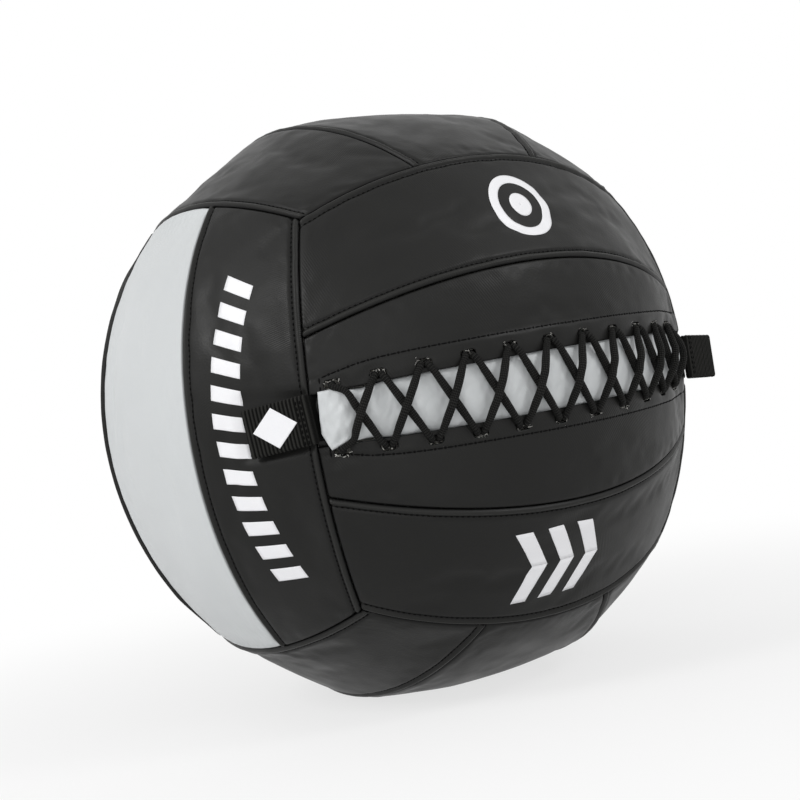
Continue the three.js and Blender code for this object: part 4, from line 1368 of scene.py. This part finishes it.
def strap_mesh(name, path, width, base, ribbed=True):
    """Ribbed webbing along a path of section points, its face pushed out to ribs. The grid's columns
    run along the path and its rows across the strap. base is an origin and the directions of the
    section's two coordinates and of the strap's width."""
    origin, x, y, z = base
    path = smooth_path(np.array([(px, py, 0) for px, py in path]), 0.1 * MM)[0][:, :2]
    length = np.r_[0, np.cumsum(np.linalg.norm(np.diff(path, axis=0), axis=1))]
    columns = round(length[-1] / RIB_PITCH * STEPS_PER_RIB)
    even = np.linspace(0, length[-1], columns + 1)
    line = np.stack([np.interp(even, length, path[:, i]) for i in range(2)], -1)
    ahead = unit_length(np.gradient(line, axis=0))
    normal = np.stack([ahead[:, 1], -ahead[:, 0]], -1)
    draw = np.random.default_rng(SEED + len(name))
    rib_of = np.floor(even / RIB_PITCH).astype(int)
    uneven = draw.normal(0, 0.02 * MM, rib_of.max() + 1)[rib_of]
    rib = np.sqrt(np.abs(np.sin(math.pi * even / RIB_PITCH))) * (1.0 if ribbed else 0.25)

    def place(column, row):
        share = 2 * row / STRAP_ROWS - 1
        share = share + 0.1 * share * (1 - share**2)
        edge = smooth(1 - np.abs(share), 0, 0.09)
        out = WEBBING_THICKNESS / 2 + (RIB_HEIGHT * rib[column] + uneven[column]) * (0.3 + 0.7 * edge) - 0.25 * MM
        out = out - 0.35 * MM * (1 - edge)
        section = line[column] + normal[column] * out[:, None]
        across = share * (width / 2 - 0.5 * MM + 0.7 * MM * rib[column])
        return origin + section[:, :1] * x + section[:, 1:] * y + across[:, None] * z

    def cut(column, row):
        return np.stack([even[column], (2 * row / STRAP_ROWS - 1) * width / 2], -1)

    mesh = grid_mesh(name, columns, STRAP_ROWS, place, cut)
    flat = np.empty(len(mesh.loops) * 2, np.float32)
    mesh.uv_layers["cut"].uv.foreach_get("vector", flat)
    along = np.zeros(len(mesh.vertices))
    along[corner_vertices(mesh)] = flat[::2]
    # The rib's height, which the webbing's material paints as light on the crests and shade in the grooves.
    set_crest(mesh, np.interp(along, even, rib))
    return mesh


def arc(middle, radius, start, end, steps):
    turn = np.radians(np.linspace(start, end, steps + 1))
    return [(middle[0] + radius * math.cos(t), middle[1] + radius * math.sin(t)) for t in turn]


# The tab's tail turns over the seam and down into the end of the slot.
TAIL_SECTION = [(v * MM, w * MM) for v, w in ((1.0, -3.15), (-0.6, -3.3), (-2.0, -4.6), (-4.4, -6.2), (-8.5, -7.0))]
TAB_STITCH_ROWS = (2.6 * MM, 5.0 * MM)
MARK_MIDDLE = 19.5 * MM
MARK_HALF_SIZE = (6.5 * MM, 5.2 * MM)
MARK_STEPS = 24


def tab(side, name, tilt, lift):
    """A strap folded in two, its tail that goes into the seam, and the stitches across its root."""
    out, over, axis = tab_frame(side, tilt)
    origin = out * (HINGE_RADIUS - lace_pull(out))
    origin[2] = CENTRE[2]
    reach = turned_about(over, axis, lift - STRIP_FALL)
    rise = np.cross(axis, reach)
    half = WEBBING_THICKNESS / 2
    flat, swollen = half + 0.05 * MM, half + 0.35 * MM
    end = TAB_LENGTH - TAB_THICKNESS / 2
    under = arc((0, 0), flat, 180, 255, 8) + [(1 * MM, -flat), (9 * MM, -flat)]
    under += [(16 * MM, -half - 0.2 * MM), (end - 3 * MM, -swollen)]
    path = under + arc((end - 0.4 * MM, 0), swollen - 0.1 * MM, -80, 80, 14)
    path += [(px, -py) for px, py in reversed(under)]
    strap = strap_mesh(name, path, TAB_WIDTH, (origin, reach, rise, axis))
    # The tail's low ribs carry almost no painted light, so it renders darker: painted shade where it turns down into
    # the slot.
    tail = strap_mesh(name + "_tail", TAIL_SECTION, TAB_WIDTH - 0.6 * MM, (origin, over, out, axis), False)
    for mesh, node, body in ((strap, name, name), (tail, name + "_tail", "ball")):
        piece = add_piece(node + "_strap", mesh, webbing, body)
        thicken(piece, PLY_THICKNESS)
        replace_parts(piece, node)

    def on_face(along, across, height):
        return origin + along * reach + (2 * half + RIB_HEIGHT + height) * rise + across[:, None] * axis

    unit = thread_unit()
    across = np.arange(-TAB_WIDTH / 2 + 1.5 * MM, TAB_WIDTH / 2 - 1 * MM, STITCH_PITCH)
    normals = np.repeat(rise[None], len(across), 0)
    rows = [stitches(unit, on_face(place, across, -0.2 * MM), normals, STITCH_PITCH) for place in TAB_STITCH_ROWS]
    add_piece(name + "_stitches", join_meshes(name + "_stitches", rows), thread, name)

    # A woven mark, a plain lozenge, on the left tab only.
    if side == -1:
        def woven(column, row):
            u, v = 2 * column / MARK_STEPS - 1, 2 * row / MARK_STEPS - 1
            along = MARK_MIDDLE + MARK_HALF_SIZE[0] * (u + v)
            height = 0.12 * MM + 0.3 * MM * smooth(along, 6 * MM, 30 * MM)
            return on_face(along[:, None], MARK_HALF_SIZE[1] * (u - v), height[:, None])

        def cut(column, row):
            return grid_numbers(column, row) * 0.5 * MM

        mesh = grid_mesh("woven_mark", MARK_STEPS, MARK_STEPS, woven, cut)
        thicken(add_piece("woven_mark", mesh, film, name), WEAVE_THICKNESS, 0)


HAIR_HALF_WIDTH = 0.17 * MM
HAIR_CURL = 0.45 * MM


def fluff():
    """Loose white fibre that pokes out of the lace's holes, a few curled hairs at each."""
    def hair(bm):
        bmesh.ops.create_cone(bm, segments=4, radius1=1, radius2=0.4, depth=2)
        long_edges = [e for e in bm.edges if abs(e.verts[0].co.z - e.verts[1].co.z) > 1]
        bmesh.ops.subdivide_edges(bm, edges=long_edges, cuts=5)

    unit = built("hair_unit", hair)
    draw = np.random.default_rng(SEED + 40)
    axes, places = [], []
    for pair in range(HOLE_PAIRS):
        for side in (1, -1):
            for _ in range(draw.integers(5, 11)):
                along = hole_along(pair) + draw.uniform(-4.2, 4.2) * MM
                across = side * (hole_half_at(hole_along(pair)) + draw.uniform(0.4, 2.9) * MM)
                spot = laced_point(along, across, -0.1 * MM)
                up = unit_length(laced_point(along, across, 1 * MM) - spot)
                lean = unit_length(up + draw.normal(0, 0.9, 3))
                if lean @ up < 0.1:
                    lean = lean + up * (0.4 - lean @ up)
                aside = unit_length(np.cross(lean, draw.normal(size=3)))
                third = np.cross(lean, aside)
                length = draw.uniform(0.35, 0.95) * MM
                axes.append(np.stack([aside * HAIR_HALF_WIDTH, third * HAIR_HALF_WIDTH, lean * length], -1))
                places.append(spot + lean * length)
    mesh = repeated("hole_fluff", unit, np.array(axes), np.array(places))
    run = np.tile(coordinates(unit)[:, 2], len(places))
    curl = np.repeat(draw.normal(0, 1, (len(places), 3)), len(unit.vertices), 0)
    set_coordinates(mesh, coordinates(mesh) + curl * (HAIR_CURL * run**2)[:, None])
    add_piece("hole_fluff", mesh, fibre, "ball")


# Cloth settings of the coated vinyl, pressed out by the filling.
CLOTH_SETTINGS = {
    "vertex_group_mass": "seams",
    "pin_stiffness": 1.0,
    "quality": 6,
    "mass": 0.25,
    "tension_stiffness": 25,
    "compression_stiffness": 25,
    "shear_stiffness": 12,
    "bending_stiffness": 0.8,
    "tension_damping": 8,
    "compression_damping": 8,
    "shear_damping": 8,
    "shrink_min": -CLOTH_EXCESS,
    "shrink_max": -CLOTH_EXCESS,
    "use_pressure": True,
    "uniform_pressure_force": 2.0,
}


def settle_cover():
    """Cloth simulation of the whole cover: every strip is cut a little larger than its seams, is
    pinned at them and is pressed from inside, so it swells and buckles. What moves is kept as a
    field over each strip, which its fine mesh is then raised by."""
    shapes, grids, pinned, meshes = [], [], [], []
    for strip in STRIPS:
        low, high = strip.edge_angles(np.zeros(1))
        rows = round(float(high[0] - low[0]) * BALL_RADIUS / CLOTH_STEP)
        columns = round(2 * FACE_HALF_ARC / CLOTH_STEP)

        def place(column, row, strip=strip, columns=columns, rows=rows):
            angle = (2 * column / columns - 1) * FACE_HALF_ANGLE
            low, high = strip.edge_angles(angle)
            point, _ = on_cover(strip.face, angle, tangent_at(angle, low + (high - low) * row / rows))
            grids.append((column, row))
            pinned.append((column == 0) | (column == columns) | (row == 0) | (row == rows))
            return point * (1 + 2e-4 * waves(point, 9 * MM, 61))[:, None]

        meshes.append(grid_mesh("cloth", columns, rows, place, grid_numbers))
        shapes.append((columns + 1, rows + 1))
    cloth = linked("cloth", join_meshes("cloth", meshes))
    start = coordinates(cloth.data)
    group = cloth.vertex_groups.new(name="seams")
    group.add([int(i) for i in np.flatnonzero(np.concatenate(pinned))], 1.0, "REPLACE")
    modifier = cloth.modifiers.new("cloth", "CLOTH")
    for key, value in CLOTH_SETTINGS.items():
        setattr(modifier.settings, key, value)
    modifier.settings.effector_weights.gravity = 0
    modifier.collision_settings.use_collision = False
    modifier.point_cache.frame_end = CLOTH_FRAMES
    scene = bpy.context.scene
    for number in range(1, CLOTH_FRAMES + 1):
        scene.frame_set(number)
    graph = bpy.context.evaluated_depsgraph_get()
    settled = coordinates(cloth.evaluated_get(graph).data)
    scene.frame_set(1)
    moved = np.sum((settled - start) * unit_length(start - CENTRE), axis=1)
    bpy.data.objects.remove(cloth)
    first = 0
    for strip, shape, (column, row) in zip(STRIPS, shapes, grids):
        field = np.zeros(shape)
        field[column, row] = moved[first : first + len(column)]
        first += len(column)
        strip.swell = swell_field(strip, np.clip(field, -1 * MM, CLOTH_CAP))


def swell_field(strip, field):
    """Reads a field over a strip smoothly at any angle and tangent."""
    columns, rows = (count - 1 for count in field.shape)

    def weights(place, count):
        cell = np.clip(np.floor(place).astype(int), 0, count - 1)
        t = np.clip(place - cell, 0, 1)
        near = [np.clip(cell + step, 0, count) for step in (-1, 0, 1, 2)]
        share = (
            0.5 * (-t + 2 * t**2 - t**3), 0.5 * (2 - 5 * t**2 + 3 * t**3),
            0.5 * (t + 4 * t**2 - 3 * t**3), 0.5 * (-(t**2) + t**3),
        )
        return list(zip(near, share))

    def read(angle, tangent):
        low, high = strip.edge_angles(angle)
        across = (across_angle(angle, tangent) - low) / (high - low)
        over = weights((angle / FACE_HALF_ANGLE + 1) / 2 * columns, columns)
        up = weights(across * rows, rows)
        return sum(field[c, r] * a * b for c, a in over for r, b in up)

    return read


def layer_mesh(name, depth, steps, unevenness, length):
    """A closed layer all round the ball, at a depth under the cover."""
    def cut(column, row):
        return grid_numbers(column, row) * 2 * FACE_HALF_ARC / steps

    meshes = []
    for face in FACES:
        def place(column, row, face=face):
            angle = (2 * column / steps - 1) * FACE_HALF_ANGLE
            point, ray = on_cover(face, angle, np.tan((2 * row / steps - 1) * FACE_HALF_ANGLE), -depth)
            point += ray * (unevenness * waves(point, length, 71))[..., None]
            point[..., 2] = np.maximum(point[..., 2], depth)
            return point

        meshes.append(grid_mesh(name, steps, steps, place, cut))
    return merged(join_meshes(name, meshes), 0.02 * MM)


def mouth_cutter(depth):
    """The room of the lace and the tongue in the layers under the mouth."""
    start = FIRST_HOLE - LACE_ROOM - FACE_HALF_ARC
    columns = 40

    def place(column, row):
        along = start + (FACE_HALF_ARC - start) * column / columns
        half = hole_half_at(along) + LACE_RADIUS + LACE_CLEARANCE
        return laced_point(along, (row - 1) * half, np.full(along.shape, 2 * MM))

    piece = linked("mouth", grid_mesh("mouth", columns, 2, place, grid_numbers))
    thicken(piece, depth + 2 * MM)
    return apply_modifiers(piece)


def stadium_block(name, half, radius, near, far):
    """A block of fibre from near the middle towards the mouth, round at both ends."""
    def work(bm):
        bmesh.ops.create_cone(bm, cap_ends=True, segments=64, radius1=radius, radius2=radius, depth=far - near)
        turn = Matrix.Rotation(math.pi / 2, 4, "X")
        for vert in bm.verts:
            vert.co.x += math.copysign(half, vert.co.x)
            vert.co = turn @ vert.co + Vector((0, -(near + far) / 2, CENTRE[2]))
        bmesh.ops.recalc_face_normals(bm, faces=bm.faces)

    return linked(name, built(name, work))


def weight_ball(name, radius, subdivisions):
    def work(bm):
        middle = Matrix.Translation(Vector(CENTRE))
        bmesh.ops.create_icosphere(bm, subdivisions=subdivisions, radius=radius, matrix=middle)

    return linked(name, built(name, work))


def roughened(mesh, height, length, seed):
    """Moves each vertex along its normal by smooth unevenness."""
    points = coordinates(mesh)
    normal = np.empty(len(mesh.vertices) * 3, np.float32)
    mesh.vertex_normals.foreach_get("vector", normal)
    set_coordinates(mesh, points + normal.reshape(-1, 3) * (height * waves(points, length, seed))[:, None])


def turned_cloth(name, profile, columns, gather):
    """A bag turned about the line to the mouth. gather(height, turn) gives how its radius changes."""
    heights, radii = np.array(profile).T
    rows = len(profile) - 1

    def place(column, row):
        turn = -2 * math.pi * column / columns
        radius = radii[row] * (1 + gather(heights[row], turn))
        return np.stack([radius * np.cos(turn), -heights[row], radius * np.sin(turn)], -1) + CENTRE

    def cut(column, row):
        return np.stack([column / columns * 2 * math.pi * WEIGHT_RADIUS, heights[row]], -1)

    return merged(grid_mesh(name, columns, rows, place, cut))


# What the cover holds: how deep its layers lie, and the rooms that are cut out of them.
BAG_DEPTH = 3.4 * MM
BAG_WALL = 0.6 * MM
FIBRE_DEPTH = 5 * MM
LAYER_STEPS = 60
TRENCH_DEPTH = LACE_INNER_DEPTH + LACE_ROOM + LACE_RADIUS + LACE_CLEARANCE
NECK_ROOM_RADIUS = 20.6 * MM
NECK_ROOM_END = 89 * MM
WAD_RADIUS = 21 * MM
WAD_HALF = WEIGHT_RADIUS - 7 * MM - WAD_RADIUS
WAD_END = 170 * MM
NECK_ANGLE = math.asin(13 * MM / WEIGHT_RADIUS)
NECK_START = WEIGHT_RADIUS * math.cos(NECK_ANGLE)
# The bag's neck and frill in millimetres: how far past the neck's start, and the radius there.
NECK_PROFILE = ((1, 13.6), (3, 12.6), (5, 12.2), (7, 12.5), (9.5, 13.6), (12, 15), (15, 16.6), (18, 18), (21, 18.9))


def soft_piece(name, mesh, look, node, wall=0, cutters=()):
    """A padded piece inside the cover. A wall turns its sheet into cloth, and cutters make room in it."""
    piece = add_piece(name, mesh, look, "ball")
    if wall:
        thicken(piece, wall)
    for tool in cutters:
        combine(piece, tool, "DIFFERENCE")
    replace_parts(piece, node)


def wad_mesh(room):
    """The fibre of the closing wad: a block, round at both ends, from the weight out to the lace."""
    block = stadium_block("closing_wad_block", WAD_HALF, WAD_RADIUS - 0.9 * MM, 0, WAD_END)
    core = linked("core", layer_mesh("core", TRENCH_DEPTH + 1.2 * MM, 24, 0, 1))
    combine(block, core, "INTERSECT")
    combine(block, room, "DIFFERENCE")
    remesh = block.modifiers.new("even", "REMESH")
    remesh.mode = "VOXEL"
    remesh.voxel_size = 2.6 * MM
    roughened(apply_modifiers(block).data, 0.45 * MM, 9 * MM, 81)
    bpy.data.objects.remove(core)
    return mesh_of(block)


def sack_mesh():
    """The weight bag: gathered into its neck, and flared into a ruffled frill over the tie."""
    profile = [
        (WEIGHT_RADIUS * math.cos(turn), max(WEIGHT_RADIUS * math.sin(turn), 0))
        for turn in np.linspace(math.pi, NECK_ANGLE + 0.05, 44)
    ]
    profile += [(NECK_START + past * MM, radius * MM) for past, radius in NECK_PROFILE]

    def gather(height, turn):
        pleat = np.cos(22 * turn + 1.5 * np.sin(3 * turn))
        near = smooth(height, 30 * MM, NECK_START)
        frill = smooth(height, NECK_START + 6 * MM, NECK_START + 20 * MM)
        return pleat * (0.02 * near + 0.05 * frill) + 0.004 * np.sin(5 * turn + height * 90)

    return turned_cloth("weight_bag_cloth", profile, 180, gather)


def sand_mesh():
    """The sand: grainy, and level under the neck of its bag."""
    sand = weight_ball("sand_ball", WEIGHT_RADIUS - 1.6 * MM, 5)
    roughened(sand.data, 0.12 * MM, 5 * MM, 91)
    points = coordinates(sand.data)
    points[:, 1] = np.maximum(points[:, 1], 1 * MM - NECK_START)
    set_coordinates(sand.data, points)
    return mesh_of(sand)


def inside():
    """What the cover holds: the inner bag, the fibre, the wad at the mouth and the bag of sand."""
    mouth = mouth_cutter(TRENCH_DEPTH)
    room = weight_ball("room", WEIGHT_RADIUS + 0.4 * MM, 4)
    neck_room = stadium_block("neck_room", 0.1 * MM, NECK_ROOM_RADIUS, 0, NECK_ROOM_END)
    combine(room, neck_room, "UNION")
    wad_room = stadium_block("wad_room", WAD_HALF, WAD_RADIUS + 0.8 * MM, 0, WAD_END)
    cloth = layer_mesh("inner_bag_cloth", BAG_DEPTH, LAYER_STEPS, 0.25 * MM, 30 * MM)
    soft_piece("inner_bag_cloth", cloth, lining, "inner_bag", BAG_WALL, cutters=(mouth,))
    wadding = layer_mesh("fibre_fill_wadding", FIBRE_DEPTH, LAYER_STEPS, 0.45 * MM, 12 * MM)
    rooms = (mouth, room, wad_room)
    soft_piece("fibre_fill_wadding", wadding, fibre, "fibre_fill", cutters=rooms)
    soft_piece("closing_wad_wadding", wad_mesh(room), fibre, "closing_wad")
    soft_piece("weight_bag_cloth", sack_mesh(), sacking, "weight_bag", BAG_WALL)
    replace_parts(add_piece("weight_sand_fill", sand_mesh(), sand_grains, "ball"), "weight_sand")
    for tool in (*rooms, neck_room):
        bpy.data.objects.remove(tool)
    tie = bpy.data.objects["weight_bag_tie"]
    tie.data.materials.clear()
    tie.data.materials.append(nylon)


# Three soft lamps: degrees round from the camera and up, distance, size and power.
LAMPS = {
    "key": (-50, 34, 1.6, 0.5, 8.2),
    "right": (58, 34, 1.6, 0.4, 5.2),
    "front": (-5, 12, 1.8, 1.0, 3.4),
}


def towards(azimuth, elevation):
    """The direction of a place round the ball and up from it. An azimuth of 0 lies in front."""
    level = math.cos(elevation)
    return Vector((math.sin(azimuth) * level, -math.cos(azimuth) * level, math.sin(elevation)))


def camera_and_lamps():
    view = bpy.data.cameras.new("camera")
    view.sensor_width = 36
    view.lens = CAMERA_LENS_MM
    camera = linked("camera", view)
    back = towards(CAMERA_AZIMUTH, CAMERA_ELEVATION)
    level = Vector((math.cos(CAMERA_AZIMUTH), math.sin(CAMERA_AZIMUTH), 0))
    right = Quaternion(back, CAMERA_ROLL) @ level
    up = back.cross(right)
    offset = right * CAMERA_OFFSET[0] + up * CAMERA_OFFSET[1] + back * CAMERA_OFFSET[2]
    facing = Matrix((right, up, back)).transposed().to_4x4()
    camera.matrix_world = Matrix.Translation(Vector(CENTRE) + offset) @ facing
    bpy.context.scene.camera = camera
    for name, (azimuth, elevation, distance, size, power) in LAMPS.items():
        light = bpy.data.lights.new(name, "AREA")
        light.shape = "DISK"
        light.size = size
        light.energy = power
        out = towards(CAMERA_AZIMUTH + math.radians(azimuth), math.radians(elevation))
        facing = out.to_track_quat("Z", "Y").to_matrix().to_4x4()
        linked(name, light).matrix_world = Matrix.Translation(Vector(CENTRE) + out * distance) @ facing


def white_glow(tree, kind, strength):
    return add_node(tree, kind, {"Color": (1, 1, 1, 1), "Strength": strength}).outputs[0]


def studio():
    """A white surround, which lights the ball less than it shows, and a sheet of white paper that
    fades into it."""
    scene = bpy.context.scene
    world = scene.world = bpy.data.worlds.new("studio")
    world.use_nodes = True
    tree = world.node_tree
    tree.nodes.clear()
    path = add_node(tree, "ShaderNodeLightPath").outputs
    seen = calc(tree, "MAXIMUM", path["Is Camera Ray"], path["Is Glossy Ray"])
    seen = calc(tree, "MAXIMUM", seen, path["Is Transmission Ray"])
    dim, white = (white_glow(tree, "ShaderNodeBackground", strength) for strength in (0.5, 1.0))
    mixed = add_node(tree, "ShaderNodeMixShader", {0: seen, 1: dim, 2: white})
    add_node(tree, "ShaderNodeOutputWorld", {"Surface": mixed.outputs[0]})
    scene.view_settings.view_transform = "Standard"

    sheet = built("floor", lambda bm: bmesh.ops.create_circle(bm, cap_ends=True, segments=96, radius=6))
    material, tree, shader = new_material("white_paper", 0.9, Base_Color=srgb("#f4f4f4"))
    path = add_node(tree, "ShaderNodeLightPath").outputs
    seen = calc(tree, "MAXIMUM", path["Is Camera Ray"], path["Is Glossy Ray"])
    away = add_node(tree, "ShaderNodeVectorMath", {0: object_place(tree)}, operation="LENGTH").outputs["Value"]
    pale = scaled(tree, away, 0.15, 0.7, 0.72, 1.0, interpolation_type="SMOOTHSTEP")
    glow = white_glow(tree, "ShaderNodeEmission", 1.0)
    inputs = {0: calc(tree, "MULTIPLY", seen, pale), 1: shader.outputs[0], 2: glow}
    mixed = add_node(tree, "ShaderNodeMixShader", inputs)
    tree.links.new(mixed.outputs[0], tree.nodes["Material Output"].inputs["Surface"])
    sheet.materials.append(material)
    linked("floor", sheet)


camera_and_lamps()
studio()
settle_cover()
for strip in STRIPS:
    cover_strip(strip)
lace()
tongue()
mouth_facing()
tab(-1, "left_tab", LEFT_TAB_TILT, 0)
tab(1, "right_tab", RIGHT_TAB_TILT, RIGHT_TAB_LIFT)
all_stitches()
prints()
fluff()
inside()
